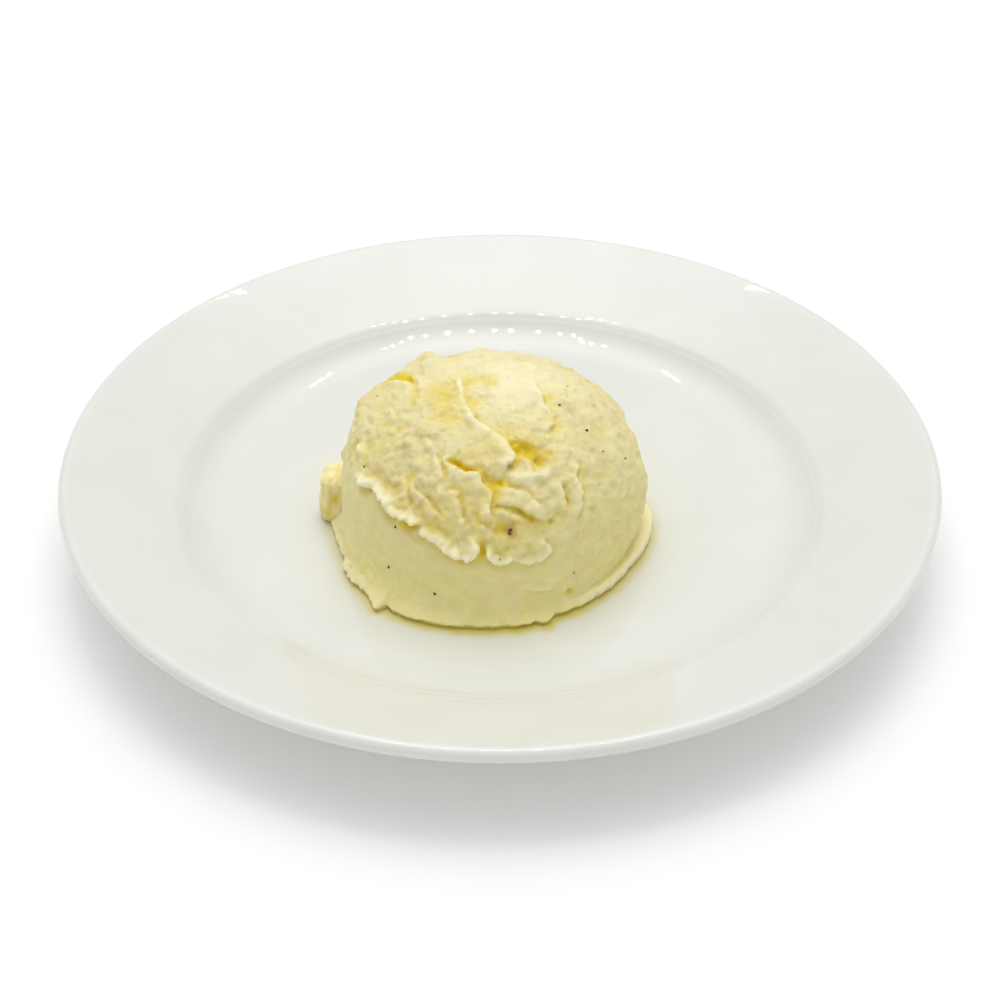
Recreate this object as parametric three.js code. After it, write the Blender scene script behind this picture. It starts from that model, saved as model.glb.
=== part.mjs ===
// A side of mashed potato: one scooped mound on a round, wide-rimmed plate.
// Millimetres, +Z up. The origin is the centre of the plate's foot ring on the table, and the
// mound's best side faces -Y.

import * as THREE from 'three';
import { mergeVertices } from 'three/addons/utils/BufferGeometryUtils.js';

// ---- Plate: driving dimensions -------------------------------------------------------------

const PLATE_SEGMENTS = 64;
const RIM_RADIUS = 115;          // out to the lip
const RIM_TOP = 24;              // height of the lip
const LIP_ROUND = 1.9;           // half the thickness of the rolled lip
const WELL_EDGE_RADIUS = 85.4;   // convex edge between rim and well
const WELL_EDGE_HEIGHT = 12.4;
const FLOOR_RADIUS = 72;         // flat floor inside the fillet
const FLOOR_HEIGHT = 7;
const FLOOR_THICKNESS = 4.5;
const BODY_THICKNESS = 4;        // of the rim and the wall
const FOOT_OUTER = 62;
const FOOT_INNER = 58;
const FOOT_CHAMFER = 0.5;

// ---- Mound: driving dimensions -------------------------------------------------------------

const MOUND_X = -2.2;
const MOUND_Y = -12;
const SEAT_GAP = 0.02;           // between the plate's floor and the mound
const COLLAR_HEIGHT = 9;         // from the floor up to the widest level
const DOME_RADIUS = 39;
const DOME_RISE = 32.6;          // from the widest level to the crown
const DOME_POWER = 2.75;         // 2 would be an ellipse, more is fuller in the shoulders
const SKIRT_HEIGHT = 1.5;        // where the squashed foot reaches furthest out
const UNDERCUT = 0.8;            // how far its lowest edge draws in
const SWEEP_ROWS = [2.5, 3.1];   // heights of the rows where the wall sweeps into the skirt
const FLANGE_TOP = 3;            // height of the flange that stands free on the right
const FLANGE_ROUND = 0.5;        // how far its upper edge draws in
const SHELF_GAP = 0.4;           // between the wall and the inner end of the flange's top
const RELIEF_FLOOR = 2.5;        // the relief fades in above this
const CHART_TILT = 37;           // how far the front chart leans back, in degrees
const CHART_RADIUS = 39;         // radius of the sphere that the charts are drawn on

const MOUND_COLUMNS = 104;
const FRONT_BIAS = 0.4;          // 0 spaces the columns evenly, more puts them in front
const DOME_ROWS = 40;
const LUMPS = [{ size: 4.6, height: 0.5 }, { size: 2.1, height: 0.3 }];   // of the rough top
const WAVES = { size: 11, tall: 7, height: 0.25 };     // of the whole mound
const HIGH_ROUGHNESS = 0.8;      // of the crown beyond the torn top, as a share of the top's
const RIGHT_ROUGHNESS = 0.6;     // of the smooth side towards the right
const STEP_HALF = 0.8;           // half the width over which a flap's edge drops
const NARROW_END = 0.45;         // width of a tapered ledge's ends, as a share of its middle's
const FOOT_ROWS = 5;             // rows round the foot, which carry no relief
const WALL_ROWS = [3.7, 5.3, 7.1];   // heights over the floor of the rows below the dome

// ---- Small helpers -------------------------------------------------------------------------

const { abs, atan2, cos, exp, floor, hypot, max, min, sin, PI } = Math;
const radians = (degrees) => (degrees * PI) / 180;
const mix = (a, b, share) => a + (b - a) * share;
const bell = (distance, width) => exp(-((distance / width) ** 2));

function smoothStep(from, to, value) {
  const t = min(1, max(0, (value - from) / (to - from)));
  return t * t * (3 - 2 * t);
}

// Distance in degrees between two azimuths, the short way round.
function turnBetween(a, b) {
  return ((((a - b) % 360) + 540) % 360) - 180;
}

// Repeatable noise between -1 and 1, smooth over lumps of about one unit.
function latticeValue(x, y, z) {
  const s = sin(x * 127.1 + y * 311.7 + z * 74.7) * 43758.5453;
  return 2 * (s - floor(s)) - 1;
}

function lumpNoise(x, y, z) {
  const cell = [floor(x), floor(y), floor(z)];
  const [fx, fy, fz] = [x - cell[0], y - cell[1], z - cell[2]].map((f) => f * f * (3 - 2 * f));
  let total = 0;
  for (const [dx, wx] of [[0, 1 - fx], [1, fx]]) {
    for (const [dy, wy] of [[0, 1 - fy], [1, fy]]) {
      for (const [dz, wz] of [[0, 1 - fz], [1, fz]]) {
        total += wx * wy * wz * latticeValue(cell[0] + dx, cell[1] + dy, cell[2] + dz);
      }
    }
  }
  return total;
}

// ---- Plate ---------------------------------------------------------------------------------

// Points on a circular arc from one angle to another, in the profile's radius-height plane.
function arcPoints(centreR, centreZ, radius, fromDegrees, toDegrees, steps) {
  const points = [];
  for (let i = 0; i <= steps; i += 1) {
    const angle = radians(mix(fromDegrees, toDegrees, i / steps));
    points.push(new THREE.Vector2(centreR + radius * cos(angle), centreZ + radius * sin(angle)));
  }
  return points;
}

function platePoints() {
  const wallRun = WELL_EDGE_RADIUS - 1 - FLOOR_RADIUS;
  const wallRise = WELL_EDGE_HEIGHT - 0.5 - FLOOR_HEIGHT;
  const wallTurn = 2 * atan2(wallRise, wallRun);
  const filletRadius = wallRun / sin(wallTurn);
  const lipR = RIM_RADIUS - LIP_ROUND;
  const lipZ = RIM_TOP - LIP_ROUND;
  const rimSlope = atan2(RIM_TOP - WELL_EDGE_HEIGHT, lipR - WELL_EDGE_RADIUS);
  const underside = FLOOR_HEIGHT - FLOOR_THICKNESS;
  const drop = BODY_THICKNESS / cos(rimSlope);
  return [
    new THREE.Vector2(0, underside),
    new THREE.Vector2(FOOT_INNER - FOOT_CHAMFER, underside),
    new THREE.Vector2(FOOT_INNER, FOOT_CHAMFER),
    new THREE.Vector2(FOOT_INNER + FOOT_CHAMFER, 0),
    new THREE.Vector2(FOOT_OUTER - FOOT_CHAMFER, 0),
    new THREE.Vector2(FOOT_OUTER, FOOT_CHAMFER),
    new THREE.Vector2(FOOT_OUTER + FOOT_CHAMFER, underside - 0.2),
    ...arcPoints(
      FLOOR_RADIUS,
      FLOOR_HEIGHT + filletRadius,
      filletRadius + BODY_THICKNESS,
      -90,
      -90 + (wallTurn * 180) / PI,
      4,
    ),
    new THREE.Vector2(WELL_EDGE_RADIUS + 4, WELL_EDGE_HEIGHT - drop + 1.6),
    ...arcPoints(lipR, lipZ, LIP_ROUND, -72, 108, 6),
    new THREE.Vector2(WELL_EDGE_RADIUS + 1.5, WELL_EDGE_HEIGHT + 0.35),
    new THREE.Vector2(WELL_EDGE_RADIUS, WELL_EDGE_HEIGHT - 0.1),
    ...arcPoints(
      FLOOR_RADIUS,
      FLOOR_HEIGHT + filletRadius,
      filletRadius,
      -90 + (wallTurn * 180) / PI,
      -90,
      6,
    ),
    new THREE.Vector2(0, FLOOR_HEIGHT),
  ];
}

function makePlate() {
  const geometry = new THREE.LatheGeometry(platePoints(), PLATE_SEGMENTS);
  geometry.rotateX(PI / 2);
  const glaze = new THREE.MeshStandardMaterial({ color: 0xf1f2ec, roughness: 0.12, metalness: 0 });
  const mesh = new THREE.Mesh(geometry, glaze);
  mesh.name = 'plate';
  return mesh;
}

// ---- Mound: the plain shape ----------------------------------------------------------------
// Azimuths are in degrees round the mound's own axis: 0 faces -Y and 90 faces +X.

// The edge of the skirt: azimuth and distance from the mound's axis.
const SKIRT_OUTLINE = [
  [-180, 41.2], [-162, 42.2], [-150, 41.2], [-140, 42.3], [-115, 41], [-95, 42.4], [-82, 41],
  [-70, 40.8], [-58, 42.9], [-48, 43.1], [-44.6, 43.7], [-38.8, 46], [-37.9, 43.2],
  [-36.5, 42.8], [-34.5, 43.9], [-22, 43.5], [-4, 42.4], [10, 42.2], [15, 41.6], [17, 42.5],
  [19, 42.7], [23, 40.8], [36, 40.7], [62, 40.3], [76, 41.5], [90, 42.5], [101, 41.7],
  [112, 41.2], [125, 41.8], [150, 40.3], [163, 41.4], [180, 41.2],
];

function skirtRadius(azimuth) {
  const ragged = 0.25 * lumpNoise(azimuth / 3.1, 0.5, 7.5);
  const next = max(1, SKIRT_OUTLINE.findIndex(([at]) => at > azimuth));
  const [[fromAt, from], [toAt, to]] = SKIRT_OUTLINE.slice(next - 1, next + 1);
  return mix(from, to, (azimuth - fromAt) / (toAt - fromAt)) + ragged;
}

// 1 on the left, where the wall sweeps out into the skirt, and 0 elsewhere.
function sweptShare(azimuth) {
  return bell(turnBetween(azimuth, -68), 26);
}

// The tall flake that stands against the mound's left side.
const FLAKE = { azimuth: -98, width: 7.4, radius: 45.8, high: 14.4 };

function flakeShare(azimuth) {
  return smoothStep(1, 0.45, abs(turnBetween(azimuth, FLAKE.azimuth)) / FLAKE.width);
}

// A wall radius at one azimuth and height, carried out to the flake where that stands.
function withFlake(radius, azimuth, height) {
  const share = flakeShare(azimuth) * smoothStep(1.15, 0.85, height / FLAKE.high);
  return max(radius, mix(radius, FLAKE.radius, share));
}

// 1 on the right, where a flange stands free of the wall, and 0 elsewhere.
function flangeShare(azimuth) {
  return smoothStep(24, 44, azimuth) * (1 - smoothStep(112, 130, azimuth));
}

// How far the wall leans out, or tucks in, at the floor.
function wallFlare(azimuth) {
  const front = 2.3 * bell(turnBetween(azimuth, -10), 32);
  const right = 2.7 * bell(turnBetween(azimuth, 70), 36);
  return front - right - 0.4;
}

function wallRadius(azimuth, height) {
  const below = max(0, COLLAR_HEIGHT - height) / COLLAR_HEIGHT;
  return DOME_RADIUS + wallFlare(azimuth) * below ** 1.6;
}

// The wall where it sweeps out into the skirt.
function flaredRadius(azimuth, height) {
  const wall = wallRadius(azimuth, height);
  const sweep = mix(1.6, 3.6, sweptShare(azimuth));
  const share = exp(-(((height - SKIRT_HEIGHT) / sweep) ** 1.3));
  return mix(wall, skirtRadius(azimuth), share);
}

// Radius of the plain dome along a ray that climbs at the given angle.
function domeRay(elevation) {
  const across = cos(elevation) / DOME_RADIUS;
  const up = sin(elevation) / DOME_RISE;
  return (across ** DOME_POWER + up ** DOME_POWER) ** (-1 / DOME_POWER);
}

// The mound's profile at one azimuth, from the floor to the crown, as radius and height.
function moundProfile(azimuth) {
  const skirt = skirtRadius(azimuth);
  const flange = flangeShare(azimuth);
  const shelf = wallRadius(azimuth, WALL_ROWS[0]) + SHELF_GAP;
  const [low, high] = SWEEP_ROWS;
  const rows = [
    { radius: skirt - UNDERCUT, height: 0 },
    { radius: skirt - 0.4, height: 0.8 },
    { radius: skirt, height: SKIRT_HEIGHT },
    {
      radius: mix(flaredRadius(azimuth, low), skirt - FLANGE_ROUND, flange),
      height: mix(low, FLANGE_TOP, flange),
    },
    {
      radius: mix(flaredRadius(azimuth, high), shelf, flange),
      height: mix(high, FLANGE_TOP, flange),
    },
    ...WALL_ROWS.map((height) => ({
      radius: mix(flaredRadius(azimuth, height), wallRadius(azimuth, height), flange),
      height,
    })),
  ];
  for (let row = 0; row <= DOME_ROWS; row += 1) {
    const elevation = radians((90 * row) / DOME_ROWS);
    const ray = domeRay(elevation);
    const radius = row === DOME_ROWS ? 0 : ray * cos(elevation);
    rows.push({ radius, height: COLLAR_HEIGHT + ray * sin(elevation) });
  }
  return rows;
}

// ---- Mound: the relief ---------------------------------------------------------------------
// Two flat charts, in millimetres, are laid on the mound, one from the front and one from
// behind. Each leans back by CHART_TILT. u runs to the right and v runs up the slope.

// A flap is raised on the left of its edge, walking from the first point to the last.
const FRONT_FLAPS = [
  {   // the main smear over the crown, whose free edge falls away to the right
    edge: [
      [3.8, 6.4], [4.2, 8.2], [5.8, 9.6], [5.9, 10.6], [4.8, 11.8], [4, 13.8], [3.1, 16.2],
      [1.6, 16.9], [0, 18.2], [-3.3, 21], [-5.2, 23.2], [-6.4, 25.6],
    ],
    height: 1.7, reach: 5, trench: 0.6, trenchWidth: 1.5, soft: 1.2,
  },
  {   // the same edge further up, where it is soft
    edge: [[-5.4, 23.4], [-6.9, 26.4], [-8, 30], [-9.2, 35], [-10.6, 41], [-12, 46]],
    height: 1.1, reach: 6, trench: 0.4, trenchWidth: 2, soft: 4,
  },
  {   // the plate of potato below the smear
    edge: [
      [0.9, -5.4], [-0.3, -3.4], [-0.2, -1.1], [0.1, 1.1], [-0.5, 2.3], [-2.1, 3.6], [-2.7, 5.1],
      [-3.8, 6.2], [-5.6, 6.5], [-7.6, 6.9], [-9.2, 7.7], [-10.4, 8.8],
    ],
    height: 1.2, reach: 5, trench: 0.55, trenchWidth: 1.3,
  },
  {   // torn ledge on the left
    edge: [
      [-39, 6.4], [-37, 5.4], [-35.2, 3.8], [-32.7, 3.2], [-30.4, 2.5], [-29.4, 1.2], [-28.5, 0],
      [-27.2, -0.9], [-26.2, -2.4], [-25.2, -3.3], [-23.7, -4.3], [-22, -4.7], [-20.2, -5.2],
      [-18.9, -5.8], [-17, -7],
    ],
    height: 1.5, reach: 2.3, trench: 0.7, trenchWidth: 1.3, ledge: true, taper: 10,
  },
  {   // torn ledge in the middle
    edge: [
      [-18.2, -8.4], [-15.1, -9.9], [-12.7, -11.2], [-10.6, -13.1], [-8.1, -14.1], [-5.6, -14.7],
      [-3.9, -14], [-2.9, -12.8], [-3.3, -11.2], [-4.6, -10.2],
    ],
    height: 1.5, reach: 1.9, trench: 0.6, trenchWidth: 1.4, ledge: true,
  },
  {   // short torn ledge on the right
    edge: [
      [-1.8, -11.8], [-1.3, -13.2], [0, -15], [0.9, -15.7], [2.4, -15.6], [4.3, -15.1],
      [6, -14.6],
    ],
    height: 1.2, reach: 1.6, trench: 0.5, trenchWidth: 1.2, ledge: true,
  },
  {   // the thin edge of the smooth patch that it runs out into
    edge: [
      [4.4, -15.4], [7.4, -16.3], [9.1, -16.2], [10.9, -15.5], [12.9, -15.2], [14.9, -13.2],
      [14.8, -11.8], [13, -10.2],
    ],
    height: 0.6, reach: 4, trench: 0.35, trenchWidth: 0.9,
  },
  {   // ragged border of the big lump on the right of the crown
    edge: [
      [15.4, 17.6], [17, 19.4], [18.8, 22.8], [18.4, 25], [17.5, 27], [16.2, 30], [16.4, 33],
      [16.2, 36.3], [15, 41],
    ],
    height: 0.7, reach: 6, trench: 0.3, trenchWidth: 1.6, soft: 3,
  },
  {   // scales left by the scoop, each lying over the next one to its right
    edge: [[-18, -4.6], [-19.4, -2.6], [-20.3, -0.4], [-21, 1.6], [-21.6, 3.6], [-22.2, 5.8]],
    height: 0.7, reach: 3.2, trench: 0.3, trenchWidth: 0.8,
  },
  {
    edge: [
      [-12, -5.2], [-13, -3.9], [-14, -2.4], [-15, -1], [-16, 0.1], [-17.2, 1], [-18.8, 2.4],
      [-20.2, 4.4],
    ],
    height: 0.9, reach: 3, trench: 0.4, trenchWidth: 0.8,
  },
  {
    edge: [[-5.9, -6.8], [-6.6, -5], [-7.1, -3], [-7.4, -1], [-7.7, 1], [-9.6, 1.6], [-11.4, 1]],
    height: 0.75, reach: 3.4, trench: 0.35, trenchWidth: 0.8,
  },
  {
    edge: [
      [-11.3, 3.8], [-11.9, 5.6], [-12.3, 7.4], [-13.2, 9.8], [-14.2, 12.2], [-15.6, 14.6],
      [-17.4, 16.4],
    ],
    height: 0.8, reach: 3.4, trench: 0.35, trenchWidth: 0.9,
  },
  {
    edge: [[2, -9.8], [1, -8.8], [-0.4, -7.6], [-2.6, -6]],
    height: 0.6, reach: 2.2, trench: 0.3, trenchWidth: 0.9,
  },
  {   // the upper and the lower edge of the tongue in the middle
    edge: [
      [13.9, -4.6], [12.6, -2.7], [11.4, -1.8], [10, -0.4], [8.9, 1.3], [8, 1.6], [6, 2],
      [4.2, 2.3], [2.2, 1.6],
    ],
    height: 0.6, reach: 3, trench: 0.25, trenchWidth: 0.9,
  },
  {
    edge: [
      [0.6, -1.6], [3.2, -1.4], [5.6, -1.6], [6.9, -2.4], [8.8, -3.6], [10.2, -4.1],
      [11.6, -4.8], [13.9, -5],
    ],
    height: 0.7, reach: 2.6, trench: 0.5, trenchWidth: 0.9,
  },
  {   // shallow scales on the smooth right side
    edge: [
      [21.7, -5], [22, -3.2], [22.3, -1.6], [22.4, 0.1], [22.8, 1.6], [22.4, 3.4], [21.5, 5.2],
      [22.2, 7.4], [22, 9.4],
    ],
    height: 0.7, reach: 3, trench: 0.6, trenchWidth: 0.9,
  },
  {
    edge: [[19, -3.6], [18.4, -2], [18, 0], [17.6, 2], [17.2, 4.2]],
    height: 0.7, reach: 2.4, trench: 0.5, trenchWidth: 0.9,
  },
];

const BACK_FLAPS = [
  {   // a smear on the far side
    edge: [[13, -3], [10, 4], [5, 9], [-1, 16], [-5, 24], [-7, 33]],
    height: 1.6, reach: 6, trench: 0.7, trenchWidth: 1.6,
  },
  {   // its torn lower ridge
    edge: [
      [-44, 4], [-36, -1], [-29, -4], [-21, -7.5], [-14, -8], [-8, -11.5], [0, -13], [8, -12],
      [15, -14], [23, -10], [29, -5],
    ],
    height: 1.3, reach: 2.6, trench: 0.7, trenchWidth: 1.5,
  },
  {
    edge: [[-17, 0], [-20, 4], [-23, 8.4]],
    height: 0.9, reach: 2.2, trench: 0.6, trenchWidth: 0.9,
  },
  {
    edge: [[4, -8], [4.4, -3], [2.4, 2], [3.4, 6]],
    height: 0.8, reach: 2.2, trench: 0.5, trenchWidth: 0.9,
  },
];

// A crease follows a line. A positive height is a ridge and a negative one is a groove.
const FRONT_CREASES = [
  { line: [[-4, 39], [-2.5, 32], [0, 26], [2.4, 21], [6, 17.2]], height: -0.9, width: 2.8 },
  { line: [[-15.5, 42], [-14, 32], [-10, 24], [-6, 17]], height: -0.7, width: 4 },
  { line: [[-10.4, 9.6], [-8, 8.3], [-6.3, 7.4], [-4.2, 7.2]], height: -1.3, width: 0.8 },
  { line: [[-3.6, -2.6], [-3.2, -4.6], [-2.3, -6.6]], height: -0.6, width: 0.8 },
  { line: [[6, -2.4], [7.4, -3.3], [9, -4.6], [11.3, -5.7]], height: -0.8, width: 0.8 },
  { line: [[0.7, -3.2], [3.4, -3.3], [5.5, -4.1], [7.8, -5.2]], height: 0.9, width: 0.9 },
  { line: [[4.6, 4.4], [8.5, 4.6], [11.4, 5.5], [14.4, 6.2]], height: 0.9, width: 1.4 },
  { line: [[5.6, -5.8], [6.2, -7.4], [6.6, -9.6]], height: 0.8, width: 0.7 },
  { line: [[-11.4, 11.6], [-11.2, 9.6], [-10.8, 7.6]], height: 0.7, width: 0.8 },
  { line: [[-39, 42.8], [-33.6, 42.6], [-28, 42.4]], height: -1.6, width: 1.8 },
  {
    line: [[-28, 42.4], [-26.6, 38.4], [-24.8, 35], [-25.6, 31], [-24.4, 28.6]],
    height: -1, width: 1.3,
  },
];

const BACK_CREASES = [
  { line: [[-16, 30], [-13, 20], [-14, 10]], height: -0.9, width: 3 },
  { line: [[16, 20], [19, 12], [20, 4]], height: -0.9, width: 1.6 },
  { line: [[24, 24], [29, 16], [31, 8]], height: 0.9, width: 1.6 },
];

// A swell is an oval lump, or a pocket where its height is negative.
const FRONT_SWELLS = [
  { at: [6, 36], size: [13, 17], height: 1 },
  { at: [8.9, 13.2], size: [3.9, 1.9], height: -2.5 },
  { at: [6, 15.4], size: [2, 1.6], height: -0.7 },
  { at: [12.3, 9.7], size: [1.6, 1.9], height: -2.9 },
  { at: [15.2, 11.6], size: [1.5, 1.3], height: -0.9 },
  { at: [-0.6, 4.2], size: [2.4, 1.8], height: -1.2 },
  { at: [2.4, 3.9], size: [1.1, 1], height: -1.3 },
  { at: [-32, 45.2], size: [5, 1.8], height: -0.8 },
  { at: [-31.4, 39.8], size: [3.6, 1.5], height: 1 },
  { at: [-4.6, 44], size: [6, 3], height: -1.1 },
  { at: [-17.5, 36.5], size: [4.6, 8], height: -0.5 },
  { at: [41.3, 36], size: [2, 2.4], height: 0.9 },
  { at: [18.5, -0.4], size: [0.9, 1], height: -0.7 },
  { at: [0, 41], size: [2.8, 1.8], height: -0.6 },
  { at: [-2.4, -12.6], size: [1, 2], height: -1.2 },
  { at: [-19.6, -6.6], size: [2.2, 0.9], height: -0.6 },
  { at: [2.6, -7.4], size: [1.7, 1.5], height: -1.1 },
  { at: [15, -5.2], size: [0.9, 1], height: -1.1 },
  { at: [-5, -12.6], size: [2.2, 1.8], height: 0.6 },
  { at: [18.9, 33.8], size: [1.5, 1.9], height: -0.7 },
  { at: [18.6, 22.6], size: [1.6, 1.6], height: -0.6 },
  { at: [17.2, 19.6], size: [1.2, 1.2], height: -0.6 },
  { at: [-25, 53.5], size: [5.5, 6], height: 3.3 },
  { at: [-45, 32], size: [6, 8], height: 2.6 },
  { at: [-37, 43], size: [8, 8], height: 2.6 },
  { at: [-3, 60], size: [15, 9], height: 0.6 },
  { at: [19, 55], size: [8, 6], height: -0.5 },
  { at: [-41.5, 17], size: [1.2, 2.4], height: -1 },
  { at: [-38.6, 14.4], size: [1.5, 1.6], height: 1.3 },
  { at: [50, 5], size: [10, 14], height: 1.2 },
  { at: [40, 34], size: [10, 12], height: 0.7 },
  { at: [39.2, 0.4], size: [1.5, 1.4], height: -0.5 },
  { at: [22.4, -27.2], size: [1.3, 1], height: -1 },
];

const BACK_SWELLS = [
  { at: [-4, 10], size: [3.6, 2.2], height: -1.9 },
  { at: [7, 17], size: [9, 9], height: 1 },
  { at: [22, -1], size: [2.4, 1.8], height: -1.2 },
  { at: [-30, 15], size: [6, 7], height: 0.9 },
  { at: [-9, -3], size: [4.5, 3], height: 0.9 },
  { at: [34, 2], size: [7, 9], height: 0.5 },
];

// Where the rough top ends and the smoothly scooped side begins, on each chart.
const FRONT_TOP_BORDER = [
  [-58, 16], [-36.5, 6], [-25, -3], [-17, -8], [-6, -14], [8, -16], [15.5, -12], [19, -4],
  [22.5, 3], [22, 16], [25, 27], [33, 38], [45, 50],
];
const BACK_TOP_BORDER = [[-50, 4], [-29, -4], [-14, -8], [0, -13], [15, -14], [29, -5], [50, 2]];

// Chart coordinates of a direction from the mound's centre. facing is -1 for the front chart
// and 1 for the one behind.
function chartPoint(direction, facing) {
  const tilt = radians(CHART_TILT);
  const level = facing * direction.y;
  const towards = level * cos(tilt) + direction.z * sin(tilt);
  const right = -facing * direction.x;
  const up = -level * sin(tilt) + direction.z * cos(tilt);
  const off = hypot(right, up);
  const angle = atan2(off, towards);
  const scale = off > 1e-9 ? (CHART_RADIUS * angle) / off : CHART_RADIUS;
  return { u: right * scale, v: up * scale };
}

// Signed distance from a chart point to a line of points, positive on the line's left, with
// how far along the line its nearest point is and how far the nearest end is.
function alongLine(line, u, v) {
  let best = { distance: Infinity, side: 1, along: 0 };
  let travelled = 0;
  for (let i = 0; i + 1 < line.length; i += 1) {
    const [fromU, fromV] = line[i];
    const runU = line[i + 1][0] - fromU;
    const runV = line[i + 1][1] - fromV;
    const length = hypot(runU, runV);
    const share = ((u - fromU) * runU + (v - fromV) * runV) / (length * length);
    const held = min(1, max(0, share));
    const distance = hypot(u - fromU - held * runU, v - fromV - held * runV);
    if (distance < best.distance) {
      const side = runU * (v - fromV) - runV * (u - fromU) >= 0 ? 1 : -1;
      best = { distance, side, along: travelled + share * length };
    }
    travelled += length;
  }
  return { signed: best.distance * best.side, along: best.along, length: travelled };
}

// Lets a flap or a crease die away over its last stretch.
function endFade(place, stretch) {
  return smoothStep(-0.4 * stretch, stretch, min(place.along, place.length - place.along));
}

// A flap's top slopes back to the plain shape, and a ledge's stays level until it ends. A ledge
// with a taper is narrower at its two ends.
function flapRelief(flap, u, v) {
  const place = alongLine(flap.edge, u, v);
  const half = STEP_HALF * (flap.soft ?? 1);
  const narrowed = flap.taper ? mix(NARROW_END, 1, endFade(place, flap.taper)) : 1;
  const inside = max(0, place.signed) / (flap.reach * narrowed);
  const top = flap.ledge ? 1 - smoothStep(0.5, 1.15, inside) : exp(-inside);
  const step = smoothStep(-half, half, place.signed) * top;
  const trench = flap.trench * bell(place.signed + flap.trenchWidth, flap.trenchWidth);
  return (flap.height * step - trench) * endFade(place, 2.5);
}

function creaseRelief(crease, u, v) {
  const place = alongLine(crease.line, u, v);
  return crease.height * bell(place.signed, crease.width) * endFade(place, 1.5);
}

function swellRelief(swell, u, v) {
  const across = (u - swell.at[0]) / swell.size[0];
  const along = (v - swell.at[1]) / swell.size[1];
  return swell.height * bell(hypot(across, along), 1);
}

// 1 on the rough top and 0 on the smooth side, which is less smooth high up and to the right.
function roughShare(border, u, v) {
  const top = smoothStep(-1, 1.5, alongLine(border, u, v).signed);
  return max(top, HIGH_ROUGHNESS * smoothStep(12, 30, v), RIGHT_ROUGHNESS * smoothStep(15, 24, u));
}

const FRONT_RELIEF = {
  flaps: FRONT_FLAPS, creases: FRONT_CREASES, swells: FRONT_SWELLS, border: FRONT_TOP_BORDER,
};
const BACK_RELIEF = {
  flaps: BACK_FLAPS, creases: BACK_CREASES, swells: BACK_SWELLS, border: BACK_TOP_BORDER,
};

function chartRelief({ u, v }, { flaps, creases, swells, border }) {
  let relief = 0;
  for (const flap of flaps) relief += flapRelief(flap, u, v);
  for (const crease of creases) relief += creaseRelief(crease, u, v);
  for (const swell of swells) relief += swellRelief(swell, u, v);
  return { relief, rough: roughShare(border, u, v) };
}

// How far the mound's surface stands out from the plain shape in one direction.
function moundRelief(direction, position) {
  const front = chartRelief(chartPoint(direction, -1), FRONT_RELIEF);
  const back = chartRelief(chartPoint(direction, 1), BACK_RELIEF);
  const behind = smoothStep(0.62, 0.85, direction.y);
  const rough = mix(front.rough, back.rough, behind);
  const { x, y, z } = position;
  const lumps = LUMPS.reduce(
    (total, { size, height }) => total + height * lumpNoise(x / size, y / size, z / size),
    0,
  );
  const waves = WAVES.height * lumpNoise(x / WAVES.size, y / WAVES.size, z / WAVES.tall);
  return mix(front.relief, back.relief, behind) + lumps * rough + waves;
}

function moundPoint(azimuth, row, isWall) {
  const angle = radians(azimuth);
  const out = new THREE.Vector3(sin(angle), -cos(angle), 0);
  const plain = out.clone().multiplyScalar(withFlake(row.radius, azimuth, row.height));
  plain.z = row.height;
  if (isWall) {
    const fromCentre = plain.clone();
    fromCentre.z -= COLLAR_HEIGHT;
    const direction = fromCentre.clone().normalize();
    const keepFoot = smoothStep(RELIEF_FLOOR, RELIEF_FLOOR + 3, row.height);
    plain.addScaledVector(direction, moundRelief(direction, fromCentre) * keepFoot);
  }
  return plain;
}

// Triangles for a grid of points in columns. Each cell is split along its shorter diagonal, so
// that the facets follow the edges of the flaps.
function gridFaces(points, columns, rows) {
  const faces = [];
  for (let column = 0; column < columns; column += 1) {
    for (let row = 0; row + 1 < rows; row += 1) {
      const here = column * rows + row;
      const next = ((column + 1) % columns) * rows + row;
      const rising = points[here].distanceTo(points[next + 1]);
      const falling = points[here + 1].distanceTo(points[next]);
      if (rising < falling) {
        faces.push(here, next, next + 1, here, next + 1, here + 1);
      } else {
        faces.push(here, next, here + 1, next, next + 1, here + 1);
      }
    }
  }
  return faces;
}

function makeMound() {
  const points = [];
  for (let column = 0; column < MOUND_COLUMNS; column += 1) {
    const even = (360 * column) / MOUND_COLUMNS - 180;
    const azimuth = even - (FRONT_BIAS * sin(radians(even)) * 180) / PI;
    points.push(new THREE.Vector3(0, 0, 0));
    moundProfile(azimuth).forEach((row, index) => {
      points.push(moundPoint(row.radius === 0 ? 0 : azimuth, row, index >= FOOT_ROWS));
    });
  }
  const rows = points.length / MOUND_COLUMNS;
  const grid = new THREE.BufferGeometry().setFromPoints(points);
  grid.setIndex(gridFaces(points, MOUND_COLUMNS, rows));
  const geometry = mergeVertices(grid);
  geometry.computeVertexNormals();
  geometry.translate(MOUND_X, MOUND_Y, FLOOR_HEIGHT + SEAT_GAP);
  const potato = new THREE.MeshStandardMaterial({ color: 0xe9dca6, roughness: 0.55, metalness: 0 });
  const mesh = new THREE.Mesh(geometry, potato);
  mesh.name = 'mash';
  return mesh;
}

// ---- Scene graph ---------------------------------------------------------------------------

const side = new THREE.Group();
side.add(makePlate());
side.add(makeMound());

export default side;
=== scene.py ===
"""Looks of a mashed potato side: one scooped mound on a round, wide-rimmed white plate.

The shapes are worked out in millimetres in the row frame, as in the part's source: +Z up, the
origin under the middle of the plate, and the mound's best side facing -Y.
"""

import math
from collections import namedtuple

import bpy
import numpy as np
from mathutils import Euler, Matrix, Vector


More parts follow.
